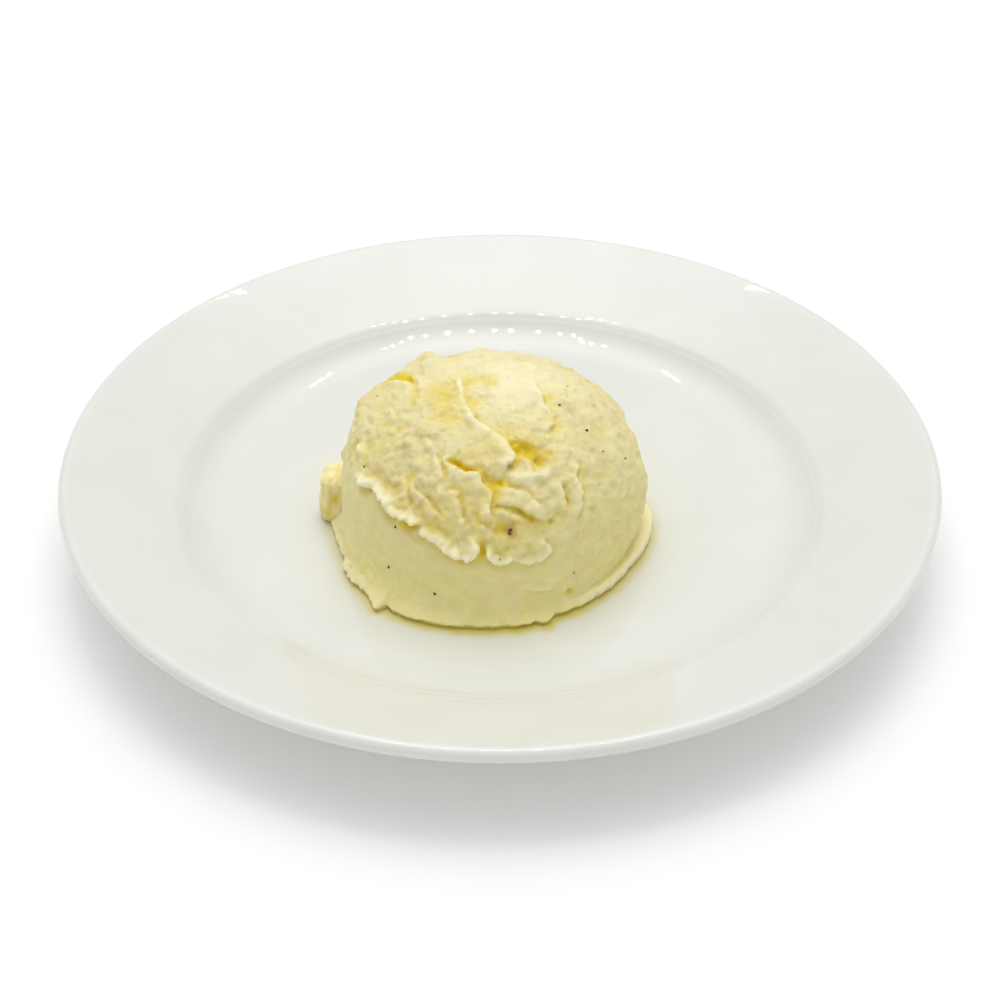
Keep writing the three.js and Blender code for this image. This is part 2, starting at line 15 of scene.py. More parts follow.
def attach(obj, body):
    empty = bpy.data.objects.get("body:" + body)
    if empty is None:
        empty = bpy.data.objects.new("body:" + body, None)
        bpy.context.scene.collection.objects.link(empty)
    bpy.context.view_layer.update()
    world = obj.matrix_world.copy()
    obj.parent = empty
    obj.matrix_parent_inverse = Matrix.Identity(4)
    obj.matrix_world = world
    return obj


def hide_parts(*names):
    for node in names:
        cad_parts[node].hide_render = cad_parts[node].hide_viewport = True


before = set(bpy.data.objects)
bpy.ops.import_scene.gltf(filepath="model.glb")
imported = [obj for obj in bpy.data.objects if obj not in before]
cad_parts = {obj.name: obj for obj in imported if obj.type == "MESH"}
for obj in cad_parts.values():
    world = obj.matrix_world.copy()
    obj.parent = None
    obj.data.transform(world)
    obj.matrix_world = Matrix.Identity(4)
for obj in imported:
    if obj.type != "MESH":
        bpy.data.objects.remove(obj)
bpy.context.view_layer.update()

MM = 0.001  # metres in a millimetre
TINY = 1e-9  # keeps a length from being divided by nothing

# ---- Plate: the same driving dimensions as the solid, in mm

RIM_RADIUS = 114.95
RIM_TOP = 23.95
LIP_ROUND = 1.9
WELL_EDGE_RADIUS = 85.4
WELL_EDGE_HEIGHT = 12.4
WELL_EDGE_ROUND = 9
FLOOR_RADIUS = 72
FLOOR_HEIGHT = 7
FLOOR_THICKNESS = 4.5
BODY_THICKNESS = 4
FOOT_OUTER = 62
FOOT_INNER = 58
FOOT_CHAMFER = 0.5
PLATE_SEGMENTS = 320
FLOOR_RINGS = 72  # rings of the fine mesh on the flat floor
WALL_STOPS = (1, 0.5)  # how far in and down from the well's edge the wall's curve stops
SHELF = (4, 1.6)  # how far out and up from that edge the underside turns to the rim
LIP_START = -72  # degrees round the lip where the underside joins it

# ---- Mound, likewise

MOUND_X = -2.2
MOUND_Y = -12
SEAT_GAP = 0.02
COLLAR_HEIGHT = 9
DOME_RADIUS = 39
DOME_RISE = 32.6
DOME_POWER = 2.75
FLANGE_HEIGHT = 2.5
CHART_TILT = 37  # degrees by which each chart leans back
CHART_RADIUS = 39

MOUND_COLUMNS = 500
FRONT_BIAS = 0.45  # how much closer the columns are in front
FOOT_STEPS = 5  # rows of the fine mesh for each row of the solid's foot
DOME_ROWS = 152
WALL_ROWS = (3.7, 5.3, 7.1)

# ---- Camera, from the ellipses of the lip and of the well's edge

CAMERA_ELEVATION = 36.97
CAMERA_DISTANCE = 500
CAMERA_TARGET = (0, -23.23, 24)
SENSOR_WIDTH = 36
LENS = 70.84


# ---- Helpers

def mix(a, b, share):
    return a + (b - a) * share


def bell(distance, width):
    return np.exp(-((distance / width) ** 2))


def smooth_step(low, high, value):
    t = np.clip((value - low) / (high - low), 0, 1)
    return t * t * (3 - 2 * t)


def turn_between(a, b):
    return (a - b + 180) % 360 - 180


def unit(vectors):
    return vectors / np.maximum(np.linalg.norm(vectors, axis=-1, keepdims=True), TINY)


def lattice_value(x, y, z):
    s = np.sin(x * 127.1 + y * 311.7 + z * 74.7) * 43758.5453
    return 2 * (s - np.floor(s)) - 1


def lump_noise(x, y, z):
    """Repeatable noise between -1 and 1, smooth over lumps of about one unit."""
    x, y, z = np.broadcast_arrays(x, y, z)
    cx, cy, cz = np.floor(x), np.floor(y), np.floor(z)
    fx, fy, fz = (f * f * (3 - 2 * f) for f in (x - cx, y - cy, z - cz))
    total = np.zeros(x.shape)
    for dx, wx in ((0, 1 - fx), (1, fx)):
        for dy, wy in ((0, 1 - fy), (1, fy)):
            for dz, wz in ((0, 1 - fz), (1, fz)):
                total += wx * wy * wz * lattice_value(cx + dx, cy + dy, cz + dz)
    return total


NOISE_TURN = np.array(Euler((0.7, 0.4, 1.1)).to_matrix())  # keeps the lattice off the axes


def noise_at(points, size, shift=0):
    p = points @ NOISE_TURN / size + shift
    return lump_noise(p[..., 0], p[..., 1], p[..., 2])


# ---- Meshes

def add_object(name, data):
    obj = bpy.data.objects.new(name, data)
    bpy.context.scene.collection.objects.link(obj)
    return obj


def new_object(name, points_mm, faces, smooth=True):
    mesh = bpy.data.meshes.new(name)
    mesh.from_pydata((np.asarray(points_mm) * MM).tolist(), [], faces)
    mesh.update()
    if smooth:
        mesh.shade_smooth()
    return add_object(name, mesh)


def set_fields(obj, **fields):
    """Gives each point the shares that the material reads."""
    for name, values in fields.items():
        field = obj.data.attributes.new(name, "FLOAT", "POINT")
        field.data.foreach_set("value", np.clip(values, 0, 1).astype(np.float32))


def lathe(name, profile, segments):
    """Turns a profile of (radius, height) points that starts and ends on the axis."""
    middle = profile[1:-1]
    rows = len(middle)
    first, last = rows * segments, rows * segments + 1
    points, faces = [], []
    for i in range(segments):
        angle = 2 * math.pi * i / segments
        points += [(r * math.cos(angle), r * math.sin(angle), z) for r, z in middle]
        here, beside = i * rows, ((i + 1) % segments) * rows
        faces += [(first, beside, here), (last, here + rows - 1, beside + rows - 1)]
        for row in range(rows - 1):
            faces.append((here + row, beside + row, beside + row + 1, here + row + 1))
    points += [(0, 0, profile[0][1]), (0, 0, profile[-1][1])]
    return new_object(name, points, faces)


# ---- Plate

def arc_points(centre_r, centre_z, radius, start, end, steps):
    angles = np.radians(np.linspace(start, end, steps + 1))
    return [(centre_r + radius * math.cos(a), centre_z + radius * math.sin(a)) for a in angles]


def straight_points(start, end, steps):
    """Points between two places, without either of them."""
    shares = [i / steps for i in range(1, steps)]
    return [(mix(start[0], end[0], s), mix(start[1], end[1], s)) for s in shares]


def plate_profile():
    wall_run = WELL_EDGE_RADIUS - WALL_STOPS[0] - FLOOR_RADIUS
    wall_rise = WELL_EDGE_HEIGHT - WALL_STOPS[1] - FLOOR_HEIGHT
    wall_turn = 2 * math.degrees(math.atan2(wall_rise, wall_run))
    fillet = wall_run / math.sin(math.radians(wall_turn))
    lip_r, lip_z = RIM_RADIUS - LIP_ROUND, RIM_TOP - LIP_ROUND
    rim_slope = math.degrees(math.atan2(RIM_TOP - WELL_EDGE_HEIGHT, lip_r - WELL_EDGE_RADIUS))
    underside = FLOOR_HEIGHT - FLOOR_THICKNESS
    drop = BODY_THICKNESS / math.cos(math.radians(rim_slope))
    fillet_z = FLOOR_HEIGHT + fillet
    below = arc_points(FLOOR_RADIUS, fillet_z, fillet + BODY_THICKNESS, -90, wall_turn - 90, 16)
    lip = arc_points(lip_r, lip_z, LIP_ROUND, LIP_START, 90 + rim_slope, 24)
    edge = edge_points(rim_slope, wall_turn)
    wall = arc_points(FLOOR_RADIUS, fillet_z, fillet, wall_turn - 92.5, -90, 22)
    shelf = (WELL_EDGE_RADIUS + SHELF[0], WELL_EDGE_HEIGHT - drop + SHELF[1])
    return [
        (0, underside), (FOOT_INNER - 2, underside),
        (FOOT_INNER - FOOT_CHAMFER, underside - 0.2),
        (FOOT_INNER, FOOT_CHAMFER), (FOOT_INNER + FOOT_CHAMFER, 0),
        (FOOT_OUTER - FOOT_CHAMFER, 0), (FOOT_OUTER, FOOT_CHAMFER),
        (FOOT_OUTER + FOOT_CHAMFER, underside - 0.2),
        *below, shelf, *straight_points(shelf, lip[0], 8),
        *lip, *straight_points(lip[-1], edge[0], 10), *edge, *wall,
        *straight_points((FLOOR_RADIUS, FLOOR_HEIGHT), (0, FLOOR_HEIGHT), FLOOR_RINGS),
        (0, FLOOR_HEIGHT),
    ]


def edge_points(rim_slope, wall_turn):
    """The rounded convex edge between the rim and the wall of the well."""
    lean = math.radians((rim_slope + wall_turn) / 2)
    centre_r = WELL_EDGE_RADIUS + WELL_EDGE_ROUND * math.sin(lean)
    centre_z = WELL_EDGE_HEIGHT - WELL_EDGE_ROUND * math.cos(lean)
    return arc_points(centre_r, centre_z, WELL_EDGE_ROUND, 90 + rim_slope, 90 + wall_turn - 4, 14)


# A yellow contact shadow is painted on the plate round the mound's foot, most on the front side.
CONTACT_SHADE_REACH = 2.6  # how far the painted contact shadow reaches out from the skirt, in mm
CONTACT_SHADE_SIDE = 10  # azimuth of the side where there is most of it
CONTACT_SHADE_SPREAD = 75  # degrees either way over which it grows less
CONTACT_SHADE_LEAST = 0.25  # share of it that is left behind the mound


def juice_round_mound(points):
    """How much yellow painted contact shadow lies on the plate at each point."""
    x, y = points[:, 0] - MOUND_X, points[:, 1] - MOUND_Y
    azimuth = np.degrees(np.arctan2(x, -y))
    beyond = np.hypot(x, y) - skirt_radius(azimuth) + 0.5 * noise_at(points, 3.4, 6.3)
    amount = mix(CONTACT_SHADE_LEAST, 1, bell(turn_between(azimuth, CONTACT_SHADE_SIDE), CONTACT_SHADE_SPREAD))
    on_floor = np.abs(points[:, 2] - FLOOR_HEIGHT) < 0.3
    shade_share = 0.85 * (1 - smooth_step(0.1, 1.2, beyond / CONTACT_SHADE_REACH))
    shade_share += 0.15 * np.exp(-np.maximum(0, beyond) / (2 * CONTACT_SHADE_REACH))
    return on_floor * amount * shade_share


def make_plate(material):
    plate = lathe("plate_glazed", plate_profile(), PLATE_SEGMENTS)
    plate.data.materials.append(material)
    points = np.array([vertex.co for vertex in plate.data.vertices]) / MM
    radius = np.hypot(points[:, 0], points[:, 1])
    on_foot = (radius > FOOT_INNER - 0.1) & (radius < FOOT_OUTER + 0.1) & (points[:, 2] < 0.6)
    set_fields(plate, bare=on_foot, juice=juice_round_mound(points))
    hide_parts("plate")
    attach(plate, "root")


# ---- Mound: the plain shape
# Azimuths are in degrees round the mound's own axis: 0 faces -Y and 90 faces +X.

# The edge of the skirt: azimuth and distance from the mound's axis.
SKIRT_OUTLINE = [
    (-180, 41.2), (-162, 42.2), (-150, 41.2), (-140, 42.3), (-115, 41), (-95, 42.4), (-82, 41),
    (-70, 40.8), (-58, 42.9), (-48, 43.1), (-44.6, 43.7), (-38.8, 46), (-37.9, 43.2),
    (-36.5, 42.8), (-34.5, 43.9), (-22, 43.5), (-4, 42.4), (10, 42.2), (15, 41.6), (17, 42.5),
    (19, 42.7), (23, 40.8), (36, 40.7), (62, 40.3), (76, 41.5), (90, 42.5), (101, 41.7),
    (112, 41.2), (125, 41.8), (150, 40.3), (163, 41.4), (180, 41.2),
]
SKIRT_HEIGHT = 1.5  # where the skirt reaches furthest out
UNDERCUT = 0.8  # how far the mound's lowest edge draws in under the skirt
TORN_AT, TORN_SPREAD = -68, 26  # where the edge of the skirt is torn
FLANGE_STARTS, FLANGE_ENDS = (24, 44), (112, 130)
FLARES = [(2.3, -10, 32), (-2.7, 70, 36)]  # how far the wall's foot leans out, where, and spread
WALL_DRAWN_IN = 0.4  # all round its foot


def torn_skirt(azimuth):
    """1 on the left, where the edge of the skirt is torn, and 0 where it is smooth."""
    return bell(turn_between(azimuth, TORN_AT), TORN_SPREAD)


def skirt_radius(azimuth):
    at, radius = zip(*SKIRT_OUTLINE)
    rough = 0.3 * lump_noise(azimuth / 2.6, 0.5, 7.5) + 0.25 * lump_noise(azimuth / 1.1, 4.5, 2.5)
    return np.interp(azimuth, at, radius) + rough * (1 + torn_skirt(azimuth))


def flange_share(azimuth):
    return smooth_step(*FLANGE_STARTS, azimuth) * (1 - smooth_step(*FLANGE_ENDS, azimuth))


def wall_flare(azimuth):
    flares = (out * bell(turn_between(azimuth, at), spread) for out, at, spread in FLARES)
    return sum(flares) - WALL_DRAWN_IN


def wall_radius(azimuth, height):
    below = max(0, COLLAR_HEIGHT - height) / COLLAR_HEIGHT
    return DOME_RADIUS + wall_flare(azimuth) * below ** 1.6


def dome_ray(elevation):
    across = np.cos(elevation) / DOME_RADIUS
    up = np.sin(elevation) / DOME_RISE
    return (across ** DOME_POWER + up ** DOME_POWER) ** (-1 / DOME_POWER)


def flared_row(azimuth, skirt, height):
    """The wall sweeping out into the skirt."""
    wall = wall_radius(azimuth, height)
    sweep = mix(1.6, 3.6, torn_skirt(azimuth))
    share = np.exp(-(((height - SKIRT_HEIGHT) / sweep) ** 1.3))
    return wall + (skirt - wall) * share


def foot_rows(azimuth):
    """Radius and height of the lowest rows, for every azimuth."""
    skirt, flange = skirt_radius(azimuth), flange_share(azimuth)
    level = np.ones_like(azimuth)
    groove = wall_radius(azimuth, WALL_ROWS[0]) + 0.4
    rows = [
        (skirt - UNDERCUT, 0 * level), (skirt - 0.5, 0.7 * level), (skirt, SKIRT_HEIGHT * level),
    ]
    # The height of each row where the skirt is plain; its radius and height at the flange
    for height, flange_radius, flange_height in (
        (2.2, skirt - 0.1, 2.6),
        (2.8, skirt - 0.9, 3.2),
        (3.2, groove, 3.1),
        (WALL_ROWS[0], groove - 0.3, WALL_ROWS[0]),
        *((h, wall_radius(azimuth, h), h) for h in WALL_ROWS[1:]),
    ):
        flared = flared_row(azimuth, skirt, height)
        rows.append((mix(flared, flange_radius, flange), mix(height, flange_height, flange)))
    rows.append((wall_radius(azimuth, COLLAR_HEIGHT), COLLAR_HEIGHT * level))
    return np.array(rows)


def rounded_rows(rows, steps):
    """More rows on a smooth curve through the given ones."""
    padded = np.concatenate([2 * rows[:1] - rows[1:2], rows, 2 * rows[-1:] - rows[-2:-1]])
    made = []
    for k in range(len(rows) - 1):
        a, b, c, d = padded[k:k + 4]
        for i in range(steps):
            t = i / steps
            bend = (2 * a - 5 * b + 4 * c - d) * t * t + (3 * b - a - 3 * c + d) * t ** 3
            made.append(0.5 * (2 * b + (c - a) * t + bend))
    return np.array(made)


def mound_profile(azimuth):
    """Every row of the fine mesh, as an array of rows, (radius, height), columns."""
    foot = rounded_rows(foot_rows(azimuth), FOOT_STEPS)
    share = np.linspace(0, 1, DOME_ROWS + 1)[:-1]
    elevation = np.radians(90 * share)
    ray = dome_ray(elevation)
    level = np.ones_like(azimuth)
    dome = np.array([
        (r * math.cos(e) * level, (COLLAR_HEIGHT + r * math.sin(e)) * level)
        for r, e in zip(ray, elevation)
    ])
    return np.concatenate([foot, dome])


# ---- Mound: the relief
# Two flat charts, in mm, are laid on the mound, one from the front and one from behind. u runs
# to the right and v runs up the slope.

# A flap is raised on the left of its edge, walking from the first point to the last, and falls
# off behind it over its reach. Its edge has a lip, and a trench of some width runs before it.
# A ledge is a narrow flap that ends where its reach does. Its ends narrow over the taper.
# Its trench gets golden painted shade, and its raised side by the edge pale painted light.
Flap = namedtuple(
    "Flap", "edge height reach trench width lip ragged pale soft ledge taper",
    defaults=(1, 0.5, 1, False, 1),
)
FRONT_FLAPS = [
    # the main smear over the crown, whose free edge falls away to the right
    Flap([
        (3.8, 6.4), (4.2, 8.2), (5.8, 9.6), (5.9, 10.6), (4.8, 11.8), (4, 13.8), (3.1, 16.2),
        (1.6, 16.9), (0, 18.2), (-3.3, 21), (-5.2, 23.2), (-6.4, 25.6),
    ], 1.7, 5, 0.6, 1.5, 0.25, 0.9, 0.6, soft=1.2),
    # the same edge further up, where it is soft
    Flap([(-5.4, 23.4), (-6.9, 26.4), (-8, 30), (-9.2, 35), (-10.6, 41), (-12, 46)],
         1.1, 6, 0.4, 2, 0.2, 1.4, 0.7, soft=4),
    # the plate of potato below the smear
    Flap([
        (0.9, -5.4), (-0.3, -3.4), (-0.2, -1.1), (0.1, 1.1), (-0.5, 2.3), (-2.1, 3.6),
        (-2.7, 5.1), (-3.8, 6.2), (-5.6, 6.5), (-7.6, 6.9), (-9.2, 7.7), (-10.4, 8.8),
    ], 1.2, 5, 0.55, 1.3, 0.25, 0.7),
    # torn ledge on the left
    Flap([
        (-39, 6.4), (-37, 5.4), (-35.2, 3.8), (-32.7, 3.2), (-30.4, 2.5), (-29.4, 1.2),
        (-28.5, 0), (-27.2, -0.9), (-26.2, -2.4), (-25.2, -3.3), (-23.7, -4.3), (-22, -4.7),
        (-20.2, -5.2), (-18.9, -5.8), (-17, -7),
    ], 1.5, 2.3, 0.7, 1.3, 0.1, 1.2, 1.1, ledge=True, taper=10),
    # torn ledge in the middle
    Flap([
        (-18.2, -8.4), (-15.1, -9.9), (-12.7, -11.2), (-10.6, -13.1), (-8.1, -14.1),
        (-5.6, -14.7), (-3.9, -14), (-2.9, -12.8), (-3.3, -11.2), (-4.6, -10.2),
    ], 1.5, 1.9, 0.6, 1.4, 0.1, 1.2, 1, ledge=True),
    # short torn ledge on the right
    Flap([
        (-1.8, -11.8), (-1.3, -13.2), (0, -15), (0.9, -15.7), (2.4, -15.6), (4.3, -15.1),
        (6, -14.6),
    ], 1.2, 1.6, 0.5, 1.2, 0.1, 1.1, 1.1, ledge=True),
    # the thin edge of the smooth patch that it runs out into
    Flap([
        (4.4, -15.4), (7.4, -16.3), (9.1, -16.2), (10.9, -15.5), (12.9, -15.2), (14.9, -13.2),
        (14.8, -11.8), (13, -10.2),
    ], 0.6, 4, 0.35, 0.9, 0.15, 1, 0.7),
    # ragged border of the big lump on the right of the crown
    Flap([
        (15.4, 17.6), (17, 19.4), (18.8, 22.8), (18.4, 25), (17.5, 27), (16.2, 30), (16.4, 33),
        (16.2, 36.3), (15, 41),
    ], 0.7, 6, 0.3, 1.6, 0.1, 1.8, 0.4, soft=3),
    # scales left by the scoop, each lying over the next one to its right
    Flap([(-18, -4.6), (-19.4, -2.6), (-20.3, -0.4), (-21, 1.6), (-21.6, 3.6), (-22.2, 5.8)],
         0.7, 3.2, 0.3, 0.8, 0.15, 0.9, 0.35),
    Flap([
        (-12, -5.2), (-13, -3.9), (-14, -2.4), (-15, -1), (-16, 0.1), (-17.2, 1), (-18.8, 2.4),
        (-20.2, 4.4),
    ], 0.9, 3, 0.4, 0.8, 0.15, 1, 0.45),
    Flap([(-5.9, -6.8), (-6.6, -5), (-7.1, -3), (-7.4, -1), (-7.7, 1), (-9.6, 1.6), (-11.4, 1)],
         0.75, 3.4, 0.35, 0.8, 0.15, 1, 0.45),
    Flap([
        (-11.3, 3.8), (-11.9, 5.6), (-12.3, 7.4), (-13.2, 9.8), (-14.2, 12.2), (-15.6, 14.6),
        (-17.4, 16.4),
    ], 0.8, 3.4, 0.35, 0.9, 0.2, 1, 0.4),
    Flap([(2, -9.8), (1, -8.8), (-0.4, -7.6), (-2.6, -6)], 0.6, 2.2, 0.3, 0.9, 0.15, 1, 0.45),
    # the upper and the lower edge of the tongue in the middle
    Flap([
        (13.9, -4.6), (12.6, -2.7), (11.4, -1.8), (10, -0.4), (8.9, 1.3), (8, 1.6), (6, 2),
        (4.2, 2.3), (2.2, 1.6),
    ], 0.6, 3, 0.25, 0.9, 0.1, 0.9, 0.4),
    Flap([
        (0.6, -1.6), (3.2, -1.4), (5.6, -1.6), (6.9, -2.4), (8.8, -3.6), (10.2, -4.1),
        (11.6, -4.8), (13.9, -5),
    ], 0.7, 2.6, 0.5, 0.9, 0.1, 0.9, 0.25),
    # shallow scales on the smooth right side
    Flap([
        (21.7, -5), (22, -3.2), (22.3, -1.6), (22.4, 0.1), (22.8, 1.6), (22.4, 3.4), (21.5, 5.2),
        (22.2, 7.4), (22, 9.4),
    ], 0.7, 3, 0.6, 0.9, 0.15),
    Flap([(19, -3.6), (18.4, -2), (18, 0), (17.6, 2), (17.2, 4.2)],
         0.7, 2.4, 0.5, 0.9, 0.15, 0.6),
    Flap([(9.6, -24.4), (12, -25), (15, -25), (17.4, -24.2)], 0.3, 3, 0.2, 0.8, 0.05, 0.6, 0.4),
]

BACK_FLAPS = [
    Flap([(13, -3), (10, 4), (5, 9), (-1, 16), (-5, 24), (-7, 33)], 1.6, 6, 0.7, 1.6, 0.3),
    Flap([
        (-44, 4), (-36, -1), (-29, -4), (-21, -7.5), (-14, -8), (-8, -11.5), (0, -13), (8, -12),
        (15, -14), (23, -10), (29, -5),
    ], 1.3, 2.6, 0.7, 1.5, 0.2),
    Flap([(-17, 0), (-20, 4), (-23, 8.4)], 0.9, 2.2, 0.6, 0.9, 0.2),
    Flap([(4, -8), (4.4, -3), (2.4, 2), (3.4, 6)], 0.8, 2.2, 0.5, 0.9, 0.2),
]

# A crease follows a line. A positive height is a ridge, painted pale as light, and a negative
# one is a groove, with golden painted shade where it is narrow, unless its own share of gold is
# given.
Crease = namedtuple("Crease", "line height width gold", defaults=(None,))

FRONT_CREASES = [
    Crease([(-4, 39), (-2.5, 32), (0, 26), (2.4, 21), (6, 17.2)], -0.9, 2.8),
    Crease([(-15.5, 42), (-14, 32), (-10, 24), (-6, 17)], -0.7, 4),
    Crease([(-10.4, 9.6), (-8, 8.3), (-6.3, 7.4), (-4.2, 7.2)], -1.3, 0.8, 1.5),
    Crease([(-3.6, -2.6), (-3.2, -4.6), (-2.3, -6.6)], -0.6, 0.8),
    Crease([(6, -2.4), (7.4, -3.3), (9, -4.6), (11.3, -5.7)], -0.8, 0.8),
    Crease([(0.7, -3.2), (3.4, -3.3), (5.5, -4.1), (7.8, -5.2)], 0.9, 0.9),
    Crease([(4.6, 4.4), (8.5, 4.6), (11.4, 5.5), (14.4, 6.2)], 0.9, 1.4),
    Crease([(5.6, -5.8), (6.2, -7.4), (6.6, -9.6)], 0.8, 0.7),
    Crease([(-11.4, 11.6), (-11.2, 9.6), (-10.8, 7.6)], 0.7, 0.8),
    Crease([(-39, 42.8), (-33.6, 42.6), (-28, 42.4)], -1.6, 1.8, 1.9),
    Crease([(-28, 42.4), (-26.6, 38.4), (-24.8, 35), (-25.6, 31), (-24.4, 28.6)], -1, 1.3),
    Crease([(-30, -2.2), (-26, -5.4), (-22, -6.9), (-18.6, -7.9)], -0.3, 1.3, 0.3),
    Crease([(10.7, 8.6), (10.7, 6.8)], -1.2, 0.4),
]

BACK_CREASES = [
    Crease([(-16, 30), (-13, 20), (-14, 10)], -0.9, 3),
    Crease([(16, 20), (19, 12), (20, 4)], -0.9, 1.6),
    Crease([(24, 24), (29, 16), (31, 8)], 0.9, 1.6),
]

# A swell is an oval lump, or a hollow where its rise is negative, or a mere tint where it has
# none: u, v, width and height on the chart, rise, and tint: pale, or golden where negative.
# The golden tint is mostly painted shade in hollows and pockets; the pale one is partly painted
# light on raised places and partly the potato's own tone.
FRONT_SWELLS = [
    # the big lump on the right of the crown
    (6, 36, 13, 17, 1, 0.5),
    # the pocket under the smear, with golden painted shade
    (8.9, 13.2, 3.9, 1.9, -2.5, -1.4), (6, 15.4, 2, 1.6, -0.7, -0.7),
    (6, 19.4, 4.5, 3.2, -0.3, -0.3), (12.3, 9.7, 1.6, 1.9, -2.9, -1),
    (15.2, 11.6, 1.5, 1.3, -0.9, -0.5),
    # hollows round the tongue in the middle, with golden painted shade
    (-0.6, 4.2, 2.4, 1.8, -1.2, -0.6), (2.4, 3.9, 1.1, 1, -1.3, -1.5),
    (7, 3, 2.4, 0.8, -0.5, -0.4), (4.6, 7.8, 0.8, 0.7, -0.7, 0),
    # the torn corner at the upper left, and the dips of the crown
    (-32, 45.2, 5, 1.8, -0.8, -0.7), (-31.4, 39.8, 3.6, 1.5, 1, 0.6),
    (-4.6, 44, 6, 3, -1.1, -0.65), (-17.5, 36.5, 4.6, 8, -0.5, -0.6), (-13, 25, 4, 6, -0.2, -0.3),
    # tints
    (-3, 13, 6, 5, 0, -0.12), (-12, -2, 15, 8, 0, -0.14), (-14.5, -0.6, 2, 1.6, 0, -0.25),
    (14.8, 11, 2.2, 2, 0, -0.15), (9.9, 10.6, 1.6, 1.2, 0, -0.5), (12.9, 10, 1.6, 1.6, 0, -0.6),
    (4.7, -7.8, 1.4, 2, 0, -0.45), (9.4, 3.1, 1.8, 1, 0, 0.6), (-25.2, -0.4, 2, 1.6, 0, 0.4),
    # a bump in the outline on the right
    (41.3, 36, 2, 2.4, 0.9, 0),
    # small pockets in the crown, under the ledges and between the scales, with golden painted
    # shade
    (18.5, -0.4, 0.9, 1, -0.7, -0.4), (0, 41, 2.8, 1.8, -0.6, -0.5),
    (-3.3, 34.6, 1.8, 2.4, -0.4, -0.15), (-2.4, -12.6, 1, 2, -1.2, -0.7),
    (-6.2, -15.6, 2.6, 0.8, -0.4, -0.6), (-19.6, -6.6, 2.2, 0.9, -0.6, -0.5),
    (-32.6, 2.2, 1.3, 0.7, -0.4, -0.5), (2.6, -7.4, 1.7, 1.5, -1.1, -0.8),
    (15, -5.2, 0.9, 1, -1.1, -0.4), (13.3, -8.8, 0.8, 1.2, -0.5, 0),
    # crumbs and low lumps among the scales
    (8, -11, 5, 2.4, 0.4, 0), (-5, -12.6, 2.2, 1.8, 0.6, 0.6), (-12.3, 1.2, 0.9, 0.8, 0.8, 0.8),
    (-7, -5.9, 0.7, 0.7, 0.6, 0.8), (-1.4, -7, 0.9, 0.7, 0.6, 0.6),
    # pits along the border of the big lump, and in the smear, with golden painted shade
    (18.9, 33.8, 1.5, 1.9, -0.7, -0.6), (18.6, 22.6, 1.6, 1.6, -0.6, -0.45),
    (17.2, 19.6, 1.2, 1.2, -0.6, -0.4), (24.8, 27.2, 1.6, 1.6, -0.3, -0.25),
    (18.2, 2.8, 0.8, 0.9, -0.6, -0.5), (-8.8, 11.6, 0.7, 1.3, -0.5, -0.3),
    (-5.9, 13.8, 0.8, 0.6, -0.4, -0.2),
    # the outline of the crown
    (-25, 53.5, 5.5, 6, 3.3, 0), (-45, 32, 6, 8, 2.6, 0), (-37, 43, 8, 8, 2.6, 0),
    (-3, 60, 15, 9, 0.6, 0), (19, 55, 8, 6, -0.5, 0),
    # the left edge
    (-41.5, 17, 1.2, 2.4, -1, -0.6), (-38.6, 14.4, 1.5, 1.6, 1.3, 0.9),
    (-35.5, 29, 2, 1.6, -0.4, -0.3),
    # the right edge
    (50, 5, 10, 14, 1.2, 0), (40, 34, 10, 12, 0.7, 0), (39.2, 0.4, 1.5, 1.4, -0.5, -0.2),
    # marks on the smooth side
    (16, -21.8, 2.2, 1.6, 0.35, 0.5), (22.4, -27.2, 1.3, 1, -1, -0.8),
]

BACK_SWELLS = [
    (-4, 10, 3.6, 2.2, -1.9, 0), (7, 17, 9, 9, 1, 0), (22, -1, 2.4, 1.8, -1.2, 0),
    (-30, 15, 6, 7, 0.9, 0), (-9, -3, 4.5, 3, 0.9, 0), (34, 2, 7, 9, 0.5, 0),
]

FRONT_TOP_BORDER = [
    (-58, 16), (-36.5, 6), (-25, -3), (-17, -8), (-6, -14), (8, -16), (15.5, -12), (19, -4),
    (22.5, 3), (22, 16), (25, 27), (33, 38), (45, 50),
]
BACK_TOP_BORDER = [(-50, 4), (-29, -4), (-14, -8), (0, -13), (15, -14), (29, -5), (50, 2)]


def chart_axes(facing):
    """The chart's own directions: towards the onlooker, right, and up the slope."""
    tilt = math.radians(CHART_TILT)
    towards = np.array([0, facing * math.cos(tilt), math.sin(tilt)])
    right = np.array([-facing, 0, 0])
    up = np.array([0, -facing * math.sin(tilt), math.cos(tilt)])
    return towards, right, up


def chart_points(directions, facing):
    towards, right, up = chart_axes(facing)
    a, b, c = directions @ right, directions @ up, directions @ towards
    off = np.maximum(np.hypot(a, b), TINY)
    scale = CHART_RADIUS * np.arctan2(off, c) / off
    return a * scale, b * scale


def chart_tangents(u, v, facing):
    """Unit steps along u and v on the chart's sphere, at each chart point."""
    towards, right, up = chart_axes(facing)
    nudge = 0.05

    def place(cu, cv):
        off = np.maximum(np.hypot(cu, cv), TINY)
        angle = off / CHART_RADIUS
        share = np.sin(angle) / off
        sideways = (cu * share)[..., None] * right
        return np.cos(angle)[..., None] * towards + sideways + (cv * share)[..., None] * up

    here = place(u, v)
    return unit(place(u + nudge, v) - here), unit(place(u, v + nudge) - here)


